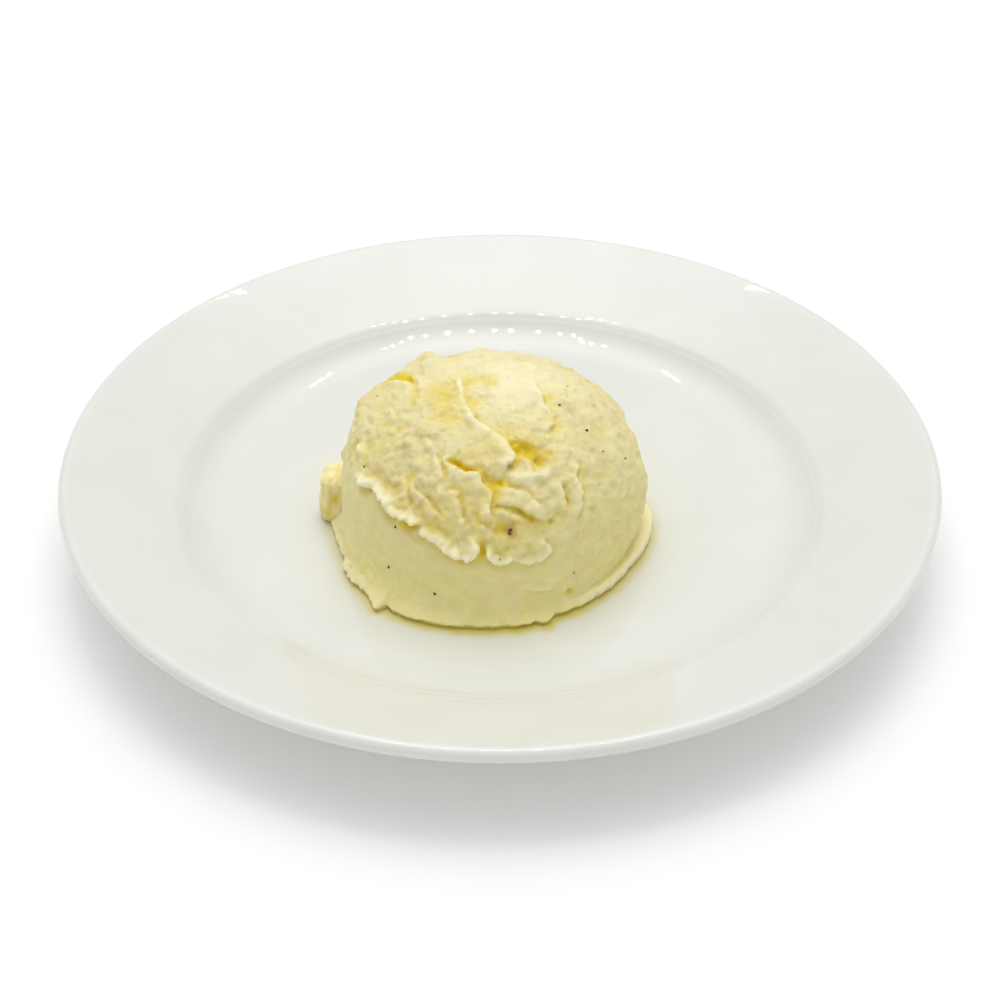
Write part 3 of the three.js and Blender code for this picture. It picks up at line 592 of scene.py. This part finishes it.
def along_line(line, u, v):
    """Signed distance to a line, positive on its left, with the place along it, its length, and
    the direction away from it on its left."""
    best = np.full(u.shape, np.inf)
    signed, along, away_u, away_v = np.zeros((4, *u.shape))
    travelled = 0.0
    for (from_u, from_v), (to_u, to_v) in zip(line[:-1], line[1:]):
        run_u, run_v = to_u - from_u, to_v - from_v
        length = math.hypot(run_u, run_v)
        share = ((u - from_u) * run_u + (v - from_v) * run_v) / (length * length)
        held = np.clip(share, 0, 1)
        off_u, off_v = u - from_u - held * run_u, v - from_v - held * run_v
        distance = np.hypot(off_u, off_v)
        side = np.where(run_u * (v - from_v) - run_v * (u - from_u) >= 0, 1.0, -1.0)
        near = distance < best
        for kept, new in (
            (best, distance), (signed, distance * side), (along, travelled + share * length),
            (away_u, -run_v / length), (away_v, run_u / length),
        ):
            np.copyto(kept, new, where=near)
        travelled += length
    return signed, along, travelled, away_u, away_v


def end_fade(along, length, stretch):
    return smooth_step(-0.4 * stretch, stretch, np.minimum(along, length - along))


STEP_HALF = 0.35  # half the width over which a flap's edge drops
LIP_PLACE, LIP_WIDTH = 0.9, 0.8  # of the lip behind a flap's edge
OVERHANG = 0.45  # how far a flap's edge leans out, for each mm of its height
HANG_PLACE, HANG_WIDTH = 0.25, 0.75  # where it leans out
BEHIND_LEDGE = (1.7, 0.35, 0.3)  # the dip behind a ledge: place in reaches, depth, and the golden painted shade in it
CREASE_PAINTED_SHADE = 0.55  # golden painted shade in a groove, for each mm of its depth
CREASE_PAINTED_LIGHT = 0.6  # pale painted light on a ridge, for each mm of its height
GROOVE_WIDTH = 2  # a wider groove gets no golden painted shade
CROWN_ROUGHNESS = 0.8  # of the top towards the crown
RIGHT_ROUGHNESS = 0.62  # of the smooth side towards the right


def relief_on_chart(u, v, flaps, creases, swells, border, wobble_u, wobble_v, thick):
    """Fields on the chart: height, the shift of overhanging edges along u and v, how golden and
    how pale the potato is painted, the gold mostly as shade and the pale mostly as light, how
    torn it is, and the share of the rough top."""
    height, shift_u, shift_v, gold, pale, torn = np.zeros((6, *u.shape))
    for flap in flaps:
        signed, along, length, away_u, away_v = along_line(
            flap.edge, u + wobble_u * flap.ragged, v + wobble_v * flap.ragged
        )
        fade = end_fade(along, length, 2)
        inside = np.maximum(0, signed)
        half = STEP_HALF * flap.soft
        step = smooth_step(-half, half, signed)
        if flap.ledge:
            reach = flap.reach * thick * mix(0.45, 1, end_fade(along, length, flap.taper))
            slope = near = 1 - smooth_step(0.4, 1.25, inside / reach)
            # a dip behind each ledge, with golden painted shade in it
            place, depth, golden = BEHIND_LEDGE
            dip = bell(inside - place * flap.reach, 1) * step * fade
            height -= depth * dip
            gold += golden * dip
            torn = np.maximum(torn, fade * step * slope)
        else:
            slope = np.exp(-inside / flap.reach)
            near = bell(inside - 0.5, 1.1)
        trench = bell(signed + 0.6 * flap.width, flap.width) * (1 - step)
        lip = bell(signed - LIP_PLACE, LIP_WIDTH) * step
        height += (step * slope * flap.height - flap.trench * trench + flap.lip * lip) * fade
        hang = OVERHANG * flap.height * fade * bell(signed - HANG_PLACE, HANG_WIDTH) * step
        shift_u -= away_u * hang
        shift_v -= away_v * hang
        # golden painted shade in the trench, and pale painted light on the raised side by the
        # edge
        gold += fade * trench * min(1, 0.65 * flap.trench)
        pale += fade * step * near * flap.pale
    wu, wv = u + wobble_u, v + wobble_v
    for crease in creases:
        signed, along, length, _, _ = along_line(crease.line, wu, wv)
        share = bell(signed, crease.width) * end_fade(along, length, 1.5)
        height += crease.height * share
        # golden painted shade in narrow grooves, pale painted light on ridges
        golden = np.clip(-CREASE_PAINTED_SHADE * crease.height, 0, 1) * (crease.width < GROOVE_WIDTH)
        gold += share * (golden if crease.gold is None else crease.gold)
        pale += share * np.clip(CREASE_PAINTED_LIGHT * crease.height, 0, 1)
    for at_u, at_v, wide, high, rise, tint in swells:
        share = bell(np.hypot((wu - at_u) / wide, (wv - at_v) / high), 1)
        height += rise * share
        # the tint: golden, mostly painted shade, or pale
        gold += share * max(0, -tint)
        pale += share * max(0, tint)
    rough = smooth_step(-1, 1.5, along_line(border, wu, wv)[0])
    rough = np.maximum(rough, CROWN_ROUGHNESS * smooth_step(12, 30, wv))
    rough = np.maximum(rough, RIGHT_ROUGHNESS * smooth_step(15, 24, wu))
    return dict(
        height=height, shift_u=shift_u, shift_v=shift_v, gold=gold, pale=pale, torn=torn,
        rough=rough,
    )


FACING_FRONT, FACING_BACK = -1, 1
CHARTS = [
    (FACING_FRONT, FRONT_FLAPS, FRONT_CREASES, FRONT_SWELLS, FRONT_TOP_BORDER),
    (FACING_BACK, BACK_FLAPS, BACK_CREASES, BACK_SWELLS, BACK_TOP_BORDER),
]


def mound_grid():
    """The plain shape, as rows of points round the mound's own axis, and the crown's point."""
    even = 360 * np.arange(MOUND_COLUMNS) / MOUND_COLUMNS - 180
    azimuth = even - FRONT_BIAS * np.degrees(np.sin(np.radians(even)))
    profile = mound_profile(azimuth)
    radius, height = profile[:, 0], profile[:, 1]
    angle = np.radians(azimuth)[None]
    plain = np.stack([radius * np.sin(angle), -radius * np.cos(angle), height], axis=-1)
    crown = np.array([[0, 0, COLLAR_HEIGHT + DOME_RISE]])
    return np.concatenate([plain.reshape(-1, 3), crown]), len(profile)


def ring_faces(rows, columns):
    """Faces of a closed body made of rings, one above the other, and a last point on top."""
    last, top = (rows - 1) * columns, rows * columns
    sides = [(c, (c + 1) % columns) for c in range(columns)]
    faces = [
        (here + a, here + b, here + b + columns, here + a + columns)
        for here in range(0, last, columns) for a, b in sides
    ]
    faces += [(last + a, last + b, top) for a, b in sides]
    faces.append(tuple(reversed(range(columns))))
    return faces


STREAK_SLOPE = 25  # degrees by which the scoop's streaks run down to the right
STREAK_LONG = 6.5
STREAK_WIDE = 1.1
BACK_BLEND = (0.62, 0.85)  # how far back the direction points where the back chart takes over


def scoop_streaks(azimuth, height):
    """Faint streaks that the scoop wiped into the smooth side."""
    slope = math.radians(STREAK_SLOPE)
    arc = np.radians(azimuth) * DOME_RADIUS
    along = (arc * math.cos(slope) - height * math.sin(slope)) / STREAK_LONG
    across = (arc * math.sin(slope) + height * math.cos(slope)) / STREAK_WIDE
    behind = bell(turn_between(azimuth, 180), 8)  # where the streaks' ends would meet
    return lump_noise(along, across, 3.7) * (1 - behind)


# Where it is wiped smoother, on the front chart: u, v, width, height and share.
CALM_PLACES = [(-5, 17, 7, 9, 0.6), (8, 38, 12, 10, 0.4), (-2, 2, 12, 8, 0.35)]

# Faint brown stains, and painted shade in the pockets and darker patches, on the front chart:
# u, v, size and strength.
STAINS_AND_SHADE = [
    (-22.4, 13.4, 1.8, 0.55), (-19.2, 17, 1.2, 0.5), (-6.3, 20.3, 1.6, 0.25),
    (24.8, 27.2, 1.8, 0.35), (27.4, 23, 1.2, 0.2), (37, 31, 1.2, 0.2), (23.4, 9.8, 1.2, 0.2),
    (12.6, -1.1, 1.2, 0.2), (4.2, 7.8, 1, 0.25), (4.7, -7.6, 2, 0.45), (4.6, -8.1, 1.1, 0.6),
    (21.8, 29.8, 1.6, 0.3), (22.7, -20.2, 1.3, 0.2), (12.8, 9.8, 1.5, 0.4), (8.9, 13, 2.4, 0.2),
    (14.8, 11, 2, 0.15), (-0.4, 10.6, 3, 0.14), (26.6, 15.7, 4, 0.14), (-28, 9, 5, 0.13),
    (-17, 1.5, 4, 0.18), (-7, 1, 5, 0.08), (-29.1, 5, 2.2, 0.2), (-24.6, 2.8, 1.4, 0.25),
    (-27, -4.6, 1.6, 0.2), (-20, -7.4, 1.8, 0.08),
]


def make_mound(material):
    points, rows = mound_grid()
    x, y, z = points.T
    from_centre = points - (0, 0, COLLAR_HEIGHT)
    direction = unit(from_centre)
    azimuth = np.degrees(np.arctan2(x, -y))
    behind = smooth_step(*BACK_BLEND, direction[:, 1])
    front_u, front_v = chart_points(direction, FACING_FRONT)

    def noise(size, shift=0):  # size in mm; another shift gives another pattern
        return noise_at(from_centre, size, shift)

    # The relief of the charts
    wobble_u = 0.5 * noise(2.3, 3.3) + 0.3 * noise(0.9, 9.1)
    wobble_v = 0.5 * noise(2.3, 5.9) + 0.3 * noise(0.9, 1.7)
    thick = 1 + 0.45 * noise(3.1, 4.4)  # of the torn ledges, as a share
    fields, shifts = [], []
    for facing, *relief in CHARTS:
        u, v = chart_points(direction, facing)
        made = relief_on_chart(u, v, *relief, wobble_u, wobble_v, thick)
        along_u, along_v = chart_tangents(u, v, facing)
        fields.append(made)
        shifts.append(made["shift_u"][:, None] * along_u + made["shift_v"][:, None] * along_v)
    field = {name: mix(fields[0][name], fields[1][name], behind) for name in fields[0]}
    shift = mix(*shifts, behind[:, None])

    # The finer relief: lumps and grain on the rough top, streaks and skin on the smooth side
    rough, smooth = field["rough"], 1 - field["rough"]
    calm = sum(
        share * bell(np.hypot((front_u - u) / wide, (front_v - v) / high), 1) * (1 - behind)
        for u, v, wide, high, share in CALM_PLACES
    )
    lumps = 0.6 * noise(4.2) + 0.55 * (1 - calm) * noise(2) + 0.35 * noise(6.5, 5.5)
    waves = 0.25 * lump_noise(x / 11, y / 11, (z - COLLAR_HEIGHT) / 7)
    grain = (0.26 * noise(1.2, 4.2) + 0.12 * noise(0.6, 8.8)) * (1 - calm)
    crumbs = 0.5 * noise(1.6, 6.1) + 0.4 * noise(0.85, 3.4)
    streaks = scoop_streaks(azimuth, z)
    skin = (0.14 * streaks + 0.17 * noise(2.4, 1.9)) * smooth
    nubs = 0.55 * noise(2.2, 2.7) + 0.4 * noise(1.1, 5.1)
    keep_foot = smooth_step(FLANGE_HEIGHT, FLANGE_HEIGHT + 3, z)
    above_floor = smooth_step(0, 1.2, z)
    total = (field["height"] + (lumps + grain) * rough + waves) * keep_foot
    total += (skin + crumbs * field["torn"] + 0.4 * grain) * above_floor
    left = torn_skirt(azimuth)
    at_foot = (0.3 + 0.7 * left) * above_floor * (1 - smooth_step(3, 8, z))
    moved = points + direction * total[:, None] + shift * keep_foot[:, None]
    moved += unit(from_centre * (1, 1, 0)) * (nubs * at_foot)[:, None]
    moved += (MOUND_X, MOUND_Y, FLOOR_HEIGHT + SEAT_GAP)

    # Its colours: random tone and mottle, stains, and painted shade and light
    mottle = 0.12 * noise(5.3, 2.2) + 0.1 * noise(2.3, 7.4)
    patchy = 1 + 0.4 * noise(1.5, 2.8)
    flange, low = flange_share(azimuth), 1 - smooth_step(3, 6, z)
    # Painted shade in the flange's groove, under the skirt, inside the torn edge and in sunken
    # lumps
    groove = flange * bell(z - 3, 1.1) * bell(np.hypot(x, y) - DOME_RADIUS + 1, 1.3)
    under = 1 - smooth_step(0.6, 1.7, z)
    inside_edge = left * bell(z - 4.6, 1.2)
    sunken = np.clip(-lumps - grain, 0, 1) * rough
    # golden painted shade from the charts and the places above, with random mottle on the rough
    # top
    gold = (field["gold"] * patchy + 0.35 * sunken + mottle * rough) * keep_foot
    gold += 0.15 * groove + 0.5 * under + 0.2 * inside_edge
    # pale painted light from the charts, with the scoop's streaks and random mottle
    pale = (field["pale"] + 0.18 * streaks * smooth) * keep_foot + 0.5 * (mottle - 0.02)
    pale += 0.45 * low * left + 0.7 * low * flange * (1 - groove)
    # painted light: the back of the crown is paler
    pale += 0.35 * smooth_step(-4, 8, y) * smooth_step(34, 41, z)
    # brown stains and painted shade, from the list above
    stain = sum(
        strength * bell(np.hypot(front_u - u, front_v - v), size)
        for u, v, size, strength in STAINS_AND_SHADE
    )
    mound = new_object("mash_mound", moved, ring_faces(rows, MOUND_COLUMNS))
    # height: the share by which the colour shifts, as painted light and shade
    height, stain = smooth_step(4, 42, z), stain * (1 - behind)
    set_fields(mound, gold=gold, pale=pale, height=height, stain=stain)
    finish_potato(mound, material)
    return mound, direction, moved


def finish_potato(piece, material):
    piece.data.materials.append(material)
    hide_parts("mash")
    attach(piece, "root")


# ---- Flake against the mound's left side

FLAKE_AZIMUTH = -98
FLAKE_CENTRE = 41.4  # from the mound's axis
FLAKE_THICK = 3.9  # half of its size away from the wall
FLAKE_WIDE = 5  # half of its size along the wall
FLAKE_HIGH = 14.2
FLAKE_SHOULDER = 0.86  # share of its height where the top begins to round off
FLAKE_SWELL = (  # shares of its height, and how thick it is there
    (0, 0.06, 0.2, 0.42, 0.6, 1), (0.85, 1.08, 1.18, 1.12, 1.06, 1.04)
)
FLAKE_SQUARE = 0.75  # how square it is from above: 1 is round
FLAKE_HOLLOWS = [(-0.6, 8.2, 0.6, 1), (2, 3.6, 0.8, 0.7)]  # place, height, squeeze, depth
FLAKE_LEAN = 0.05  # towards the wall, for each mm of its height
FLAKE_SIDES = 140
FLAKE_ROWS = 90


def make_flake(material):
    share = np.linspace(0, 1, FLAKE_ROWS + 1)[:-1, None]
    turn = (2 * np.pi * np.arange(FLAKE_SIDES) / FLAKE_SIDES)[None]
    cos, sin, cap = np.broadcast_arrays(
        np.cos(turn), np.sin(turn), np.clip((share - FLAKE_SHOULDER) / (1 - FLAKE_SHOULDER), 0, 1)
    )
    size = np.interp(share, *FLAKE_SWELL) * (1 - cap ** 2.4) ** (1 / 2.4)
    across = FLAKE_THICK * size * np.sign(cos) * np.abs(cos) ** FLAKE_SQUARE
    along = FLAKE_WIDE * size * np.sign(sin) * np.abs(sin) ** FLAKE_SQUARE
    height = FLAKE_HIGH * share + 0 * turn
    local = np.stack([across, along, height], axis=-1)
    stripes = lump_noise(across / 0.9, along / 1.1, height / 7)
    lumps = 0.4 * noise_at(local, 2.6, 3.1) + 0.3 * noise_at(local, 1.2, 7.7)
    lumps += 0.12 * noise_at(local, 0.6)
    hollow = sum(
        depth * bell(np.hypot(across - at, squeeze * (height - up)), 1.4)
        for at, up, squeeze, depth in FLAKE_HOLLOWS
    ) * smooth_step(0, 2, along)
    relief = (0.25 * stripes + lumps - 0.9 * hollow) * smooth_step(0, 0.06, share)
    local += np.stack([cos, sin, 0.6 * cap], axis=-1) * relief[..., None]
    angle = math.radians(FLAKE_AZIMUTH)
    out = np.array([math.sin(angle), -math.cos(angle), 0])
    beside = np.array([math.cos(angle), math.sin(angle), 0])
    radius = FLAKE_CENTRE + local[..., 0] - FLAKE_LEAN * local[..., 2]
    points = radius[..., None] * out + local[..., 1:2] * beside + local[..., 2:] * (0, 0, 1)
    crown = (FLAKE_CENTRE - 0.8) * out + (0, 0, FLAKE_HIGH + 0.2)
    points = np.concatenate([points.reshape(-1, 3), [crown]])
    points += (MOUND_X, MOUND_Y, FLOOR_HEIGHT + SEAT_GAP)
    flake = new_object("mash_flake", points, ring_faces(FLAKE_ROWS, FLAKE_SIDES))
    # golden painted shade in the flake's hollows; paler along its stripes and towards its top
    gold = np.append(0.12 + 0.85 * hollow - 0.2 * stripes, 0)
    pale = np.append(0.25 + 0.3 * stripes + 0.3 * share, 0)
    set_fields(flake, gold=gold, pale=pale, height=0 * gold, stain=0 * gold)
    finish_potato(flake, material)


# ---- Pepper

# On the front chart: u, v, size across in mm, and how brown it is.
FRONT_PEPPER = [
    (-36.5, 9.2, 0.95, 0.2), (-24.6, -7.4, 0.7, 0.1), (-29.6, -19.8, 0.95, 0),
    (-15.4, -26, 0.9, 0), (-38, 34.3, 0.5, 0), (27, 39.6, 0.8, 0), (21.8, 29.8, 0.85, 0.6),
    (27.7, 19.5, 0.9, 0), (30.5, 12.7, 0.6, 0), (38.5, 11.6, 0.9, 0), (22.7, -20.2, 0.6, 0.3),
    (2, -14.5, 0.5, 0.1), (4.75, -7.75, 1.2, 0.7), (4.45, -8.4, 1.1, 0.9),
]
BACK_PEPPER_COUNT = 16
BACK_PEPPER_RANGES = [(-34, 34), (-22, 3), (0.6, 1.1), (0, 0.4)]  # of the same four
PEPPER_SEED = 7
PEPPER_FLAT = 0.6  # its height as a share of its width
PEPPER_SIDES = 10
PEPPER_ROWS = 6


def pepper_flake(centre, normal, size, rng):
    """Points and faces of a small cracked flake, sunk into the surface."""
    points = []
    stretch = rng.uniform(0.65, 1)
    for row in range(1, PEPPER_ROWS):
        lean = math.pi * row / PEPPER_ROWS
        for side in range(PEPPER_SIDES):
            turn = 2 * math.pi * side / PEPPER_SIDES
            reach = 0.5 * size * rng.uniform(0.78, 1.12)
            flat, up = math.sin(lean) * reach, PEPPER_FLAT * math.cos(lean) * reach
            points.append((flat * math.cos(turn), stretch * flat * math.sin(turn), up))
    points += [(0, 0, 0.5 * PEPPER_FLAT * size), (0, 0, -0.5 * PEPPER_FLAT * size)]
    spin = Matrix.Rotation(rng.uniform(0, 2 * math.pi), 3, "Z")
    frame_turn = normal.to_track_quat("Z", "Y").to_matrix() @ spin
    placed = [centre + frame_turn @ Vector(point) for point in points]
    top = len(points) - 2
    last = top - PEPPER_SIDES
    faces = []
    for side in range(PEPPER_SIDES):
        beside = (side + 1) % PEPPER_SIDES
        faces += [(top, side, beside), (top + 1, last + beside, last + side)]
        for here in range(0, last, PEPPER_SIDES):
            below = here + PEPPER_SIDES
            faces.append((here + side, below + side, below + beside, here + beside))
    return placed, faces


def make_pepper(mound, direction, places, material):
    rng = np.random.default_rng(PEPPER_SEED)
    back_pepper = [
        [rng.uniform(*ends) for ends in BACK_PEPPER_RANGES] for _ in range(BACK_PEPPER_COUNT)
    ]
    points, faces, brownness = [], [], []
    for facing, flakes in ((FACING_FRONT, FRONT_PEPPER), (FACING_BACK, back_pepper)):
        u, v = chart_points(direction, facing)
        for at_u, at_v, size, brown in flakes:
            nearest = int(np.argmin(np.hypot(u - at_u, v - at_v)))
            normal = mound.data.vertices[nearest].normal
            made, made_faces = pepper_flake(Vector(places[nearest]), normal, size, rng)
            faces += [tuple(len(points) + corner for corner in face) for face in made_faces]
            points += made
            brownness += [brown] * len(made)
    pepper = new_object("mash_pepper", points, faces)
    set_fields(pepper, brown=brownness)
    finish_potato(pepper, material)


# ---- Materials

def new_material(name):
    material = bpy.data.materials.new(name)
    material.use_nodes = True
    tree = material.node_tree
    return material, tree, tree.nodes["Principled BSDF"]


def set_inputs(tree, node, inputs):
    """Gives each socket its constant, or links it to another node's output."""
    for name, value in inputs.items():
        if isinstance(value, bpy.types.NodeSocket):
            tree.links.new(value, node.inputs[name])
        else:
            node.inputs[name].default_value = value


def new_node(tree, kind, inputs, **settings):
    node = tree.nodes.new("ShaderNode" + kind)
    for name, value in settings.items():
        setattr(node, name, value)
    set_inputs(tree, node, inputs)
    return node


def mix_colour(tree, share, first, second):
    """A node that mixes two colours; either can be a colour or another node's output."""
    first, second = ((*c, 1) if isinstance(c, tuple) else c for c in (first, second))
    inputs = {0: share, 6: first, 7: second}
    return new_node(tree, "Mix", inputs, data_type="RGBA", clamp_factor=True).outputs[2]


def field_value(tree, name):
    return new_node(tree, "Attribute", {}, attribute_name=name).outputs["Fac"]


def noise_value(tree, size_mm, detail=3):
    """Noise on the object's own coordinates, with lumps of about the given size."""
    place = new_node(tree, "TexCoord", {}).outputs["Object"]
    inputs = {"Scale": 1 / (size_mm * MM), "Detail": detail, "Vector": place}
    return new_node(tree, "TexNoise", inputs).outputs["Fac"]


def in_range(tree, value, from_low, from_high, to_low, to_high):
    return new_node(tree, "MapRange", {
        "Value": value, "From Min": from_low, "From Max": from_high,
        "To Min": to_low, "To Max": to_high,
    }).outputs["Result"]


def add_bump(tree, height, strength, depth_mm, **before):
    inputs = {"Strength": strength, "Distance": depth_mm * MM, "Height": height, **before}
    return new_node(tree, "Bump", inputs).outputs["Normal"]


GLAZE = (0.76, 0.765, 0.72)
GLAZE_THIN = (0.735, 0.745, 0.695)
BARE_CLAY = (0.55, 0.5, 0.42)
# colour of the yellow contact shadow painted round the mound
CONTACT_SHADE = (0.68, 0.61, 0.16)


def glaze_material():
    """White glaze, a little uneven in tone and gloss, over a foot ring that is left bare, with a
    yellow contact shadow painted round the mound's foot.
    """
    material, tree, shader = new_material("white_glaze")
    uneven = in_range(tree, noise_value(tree, 18), 0.35, 0.65, 0, 1)
    glazed = mix_colour(tree, uneven, GLAZE, GLAZE_THIN)
    bare = field_value(tree, "bare")
    # the painted contact shadow round the mound's foot
    with_contact_shade = mix_colour(tree, field_value(tree, "juice"), glazed, CONTACT_SHADE)
    gloss = in_range(tree, noise_value(tree, 7), 0.3, 0.7, 0.03, 0.045)
    dull = in_range(tree, bare, 0, 1, 0, 0.75)
    roughness = new_node(tree, "Math", {0: gloss, 1: dull}, operation="MAXIMUM")
    set_inputs(tree, shader, {
        "Base Color": mix_colour(tree, bare, with_contact_shade, BARE_CLAY),
        "Roughness": roughness.outputs["Value"],
        "Normal": add_bump(tree, noise_value(tree, 9, 1), 0.12, 0.08),
        "IOR": 1.5,
    })
    return material


# LOW to HIGH, foot to top, is painted light and shade: a richer yellow below, as the shaded foot
# looks, and duller and darker on top, for the small shadows of the rough top.
POTATO_LOW = (0.84, 0.748, 0.3)
POTATO_HIGH = (0.715, 0.63, 0.325)
POTATO_GREEN = (0.78, 0.74, 0.32)
POTATO_PINK = (0.87, 0.71, 0.39)
# PALE and GOLD also carry the painted light and the golden painted shade
POTATO_PALE = (0.94, 0.89, 0.61)
POTATO_GOLD = (0.76, 0.575, 0.01)
# brown of the stains, also laid on as painted shade
POTATO_STAIN_AND_SHADE = (0.5, 0.33, 0.13)


def potato_material():
    """Moist mashed potato, finely grained, with random tone and brown stains. Pale painted light
    lies where it is torn and on its edges, golden painted shade in its hollows, and its colour
    changes with height as painted light and shade.
    """
    material, tree, shader = new_material("mashed_potato")
    # colour by height, as painted light and shade
    colour = mix_colour(tree, field_value(tree, "height"), POTATO_LOW, POTATO_HIGH)
    for share, tint in (
        (in_range(tree, noise_value(tree, 3.2), 0.38, 0.68, 0, 0.3), POTATO_PALE),
        (in_range(tree, noise_value(tree, 3.6, 4), 0.48, 0.64, 0, 0.55), POTATO_GREEN),
        (in_range(tree, noise_value(tree, 4.4, 4), 0.5, 0.64, 0, 0.35), POTATO_PINK),
        (in_range(tree, noise_value(tree, 0.9), 0.58, 0.76, 0, 0.2), POTATO_GOLD),
        # painted light, golden painted shade, and stains with painted shade
        (field_value(tree, "pale"), POTATO_PALE),
        (field_value(tree, "gold"), POTATO_GOLD),
        (field_value(tree, "stain"), POTATO_STAIN_AND_SHADE),
    ):
        colour = mix_colour(tree, share, colour, tint)
    lumps = add_bump(tree, noise_value(tree, 1.3), 0.5, 0.28)
    set_inputs(tree, shader, {
        "Base Color": colour,
        "Roughness": in_range(tree, noise_value(tree, 2.2), 0.35, 0.65, 0.4, 0.58),
        "Normal": add_bump(tree, noise_value(tree, 0.42), 0.35, 0.1, Normal=lumps),
        "Specular IOR Level": 0.3,
        "Subsurface Weight": 0.3,
        "Subsurface Radius": (1, 0.6, 0.22),
        "Subsurface Scale": 0.0018,
    })
    return material


PEPPER_DARK = (0.035, 0.025, 0.016)
PEPPER_GREY = (0.1, 0.075, 0.05)
PEPPER_BROWN = (0.2, 0.095, 0.01)


def pepper_material():
    material, tree, shader = new_material("cracked_pepper")
    cracked = in_range(tree, noise_value(tree, 0.3), 0.4, 0.6, 0, 1)
    dark = mix_colour(tree, cracked, PEPPER_DARK, PEPPER_GREY)
    set_inputs(tree, shader, {
        "Base Color": mix_colour(tree, field_value(tree, "brown"), dark, PEPPER_BROWN),
        "Normal": add_bump(tree, noise_value(tree, 0.25), 0.5, 0.05),
        "Roughness": 0.62,
        "Specular IOR Level": 0.2,
    })
    return material


# ---- Stage

def make_camera():
    camera = add_object("camera", bpy.data.cameras.new("camera"))
    camera.data.sensor_width = SENSOR_WIDTH
    camera.data.lens = LENS
    camera.data.clip_start = 0.01
    lean = math.radians(CAMERA_ELEVATION)
    back = Vector((0, -math.cos(lean), math.sin(lean)))
    target = Vector(CAMERA_TARGET) * MM
    camera.location = target + back * (CAMERA_DISTANCE * MM)
    camera.rotation_euler = (-back).to_track_quat("-Z", "Y").to_euler()
    bpy.context.scene.camera = camera


FLOOR_HALF = 3000  # half the width of the floor
FLOOR_DROP = 0.2  # how far it lies under the plate


def make_floor():
    signs = ((-1, -1), (1, -1), (1, 1), (-1, 1))
    corners = [(x * FLOOR_HALF, y * FLOOR_HALF, 0) for x, y in signs]
    floor = new_object("floor", corners, [(0, 1, 2, 3)], smooth=False)
    floor.location.z = -FLOOR_DROP * MM
    material, tree, shader = new_material("pale_floor")
    set_inputs(tree, shader, {
        "Base Color": (0.8, 0.8, 0.8, 1),
        "Roughness": 0.9,
        "Emission Color": (1, 1, 1, 1),
        "Emission Strength": 0.14,
    })
    floor.data.materials.append(material)


SKY_BASE = 0.62  # brightness of the studio's walls
SKY_GLOW = 3  # extra brightness of its ceiling
GLOW_TURN = 16  # degrees by which the glow leans back from straight up
GLOW_POWER = 12  # how closely the glow is gathered


def make_world():
    world = bpy.data.worlds.new("studio")
    bpy.context.scene.world = world
    world.use_nodes = True
    tree = world.node_tree
    turn = math.radians(GLOW_TURN)
    place = new_node(tree, "TexCoord", {}).outputs["Generated"]
    up = (0, math.sin(turn), math.cos(turn))
    lean = new_node(tree, "VectorMath", {0: place, 1: up}, operation="DOT_PRODUCT")
    above = new_node(tree, "Clamp", {"Value": lean.outputs["Value"]})
    glow = new_node(tree, "Math", {0: above.outputs["Result"], 1: GLOW_POWER}, operation="POWER")
    inputs = {0: glow.outputs["Value"], 1: SKY_GLOW, 2: SKY_BASE}
    total = new_node(tree, "Math", inputs, operation="MULTIPLY_ADD").outputs["Value"]
    set_inputs(tree, tree.nodes["Background"], {"Strength": total, "Color": (1, 1, 1, 1)})


# Lamps in a horseshoe under the ceiling, and a row behind it, in mm. They are long and narrow,
# and each points to a place behind the plate, so that the well's curved wall shows it as a bead.
CEILING = 1000
FRONT_LAMPS = [223, 183, 127, 68, 12, -27, -94, -145, -182]
SIDE_LAMPS = [
    (219, 179), (213, 255), (217, 300), (188, 632), (170, 695), (140, 765),
    (-179, 159), (-152, 265), (-168, 280), (-193, 290), (-182, 618), (-160, 675), (-138, 742),
]
REAR_LAMPS = [820, 900, 985, 1060]
FRONT_LAMP_SIZE = (150, 12)
SIDE_LAMP_SIZE = (140, 8)
REAR_LAMP_SIZE = (7, 7)
RIM_MIRRORS = (350, 550)  # the flat of the rim would mirror lamps between these at the sides
LAMP_RADIANCE = 14  # W per square metre and steradian
FRONT_ROW = (40, 90)  # y of the front row, in the middle and at its ends
LAMP_AIM = 700  # y of the place behind the plate that a lamp at y = 0 points to
AIM_FOLLOWS = 0.4  # share of the lamp's own y by which that place moves


def lamp_places():
    """Where each lamp hangs, and its length and width."""
    near, far = RIM_MIRRORS
    for x in FRONT_LAMPS:
        yield x, mix(*FRONT_ROW, abs(x) / max(FRONT_LAMPS)), FRONT_LAMP_SIZE
    for x, y in SIDE_LAMPS:
        room = near - y if y < near else y - far
        yield x, y, (min(SIDE_LAMP_SIZE[0], 2 * room), SIDE_LAMP_SIZE[1])
    for y in REAR_LAMPS:
        yield 0, y, REAR_LAMP_SIZE


def make_lamps():
    for i, (x, y, (length, width)) in enumerate(lamp_places()):
        name = f"lamp_{i:02d}"
        light = bpy.data.lights.new(name, "AREA")
        light.shape = "ELLIPSE"
        light.size, light.size_y = length * MM, width * MM
        light.energy = LAMP_RADIANCE * math.pi * (math.pi / 4 * light.size * light.size_y)
        lamp = add_object(name, light)
        lamp.location = (x * MM, y * MM, CEILING * MM)
        lamp.rotation_euler.z = math.atan2(LAMP_AIM + (AIM_FOLLOWS - 1) * y, -x)


make_camera()
make_floor()
make_world()
make_lamps()
make_plate(glaze_material())
potato = potato_material()
mound_and_places = make_mound(potato)
make_flake(potato)
make_pepper(*mound_and_places, pepper_material())

bpy.context.scene.view_settings.view_transform = "Standard"
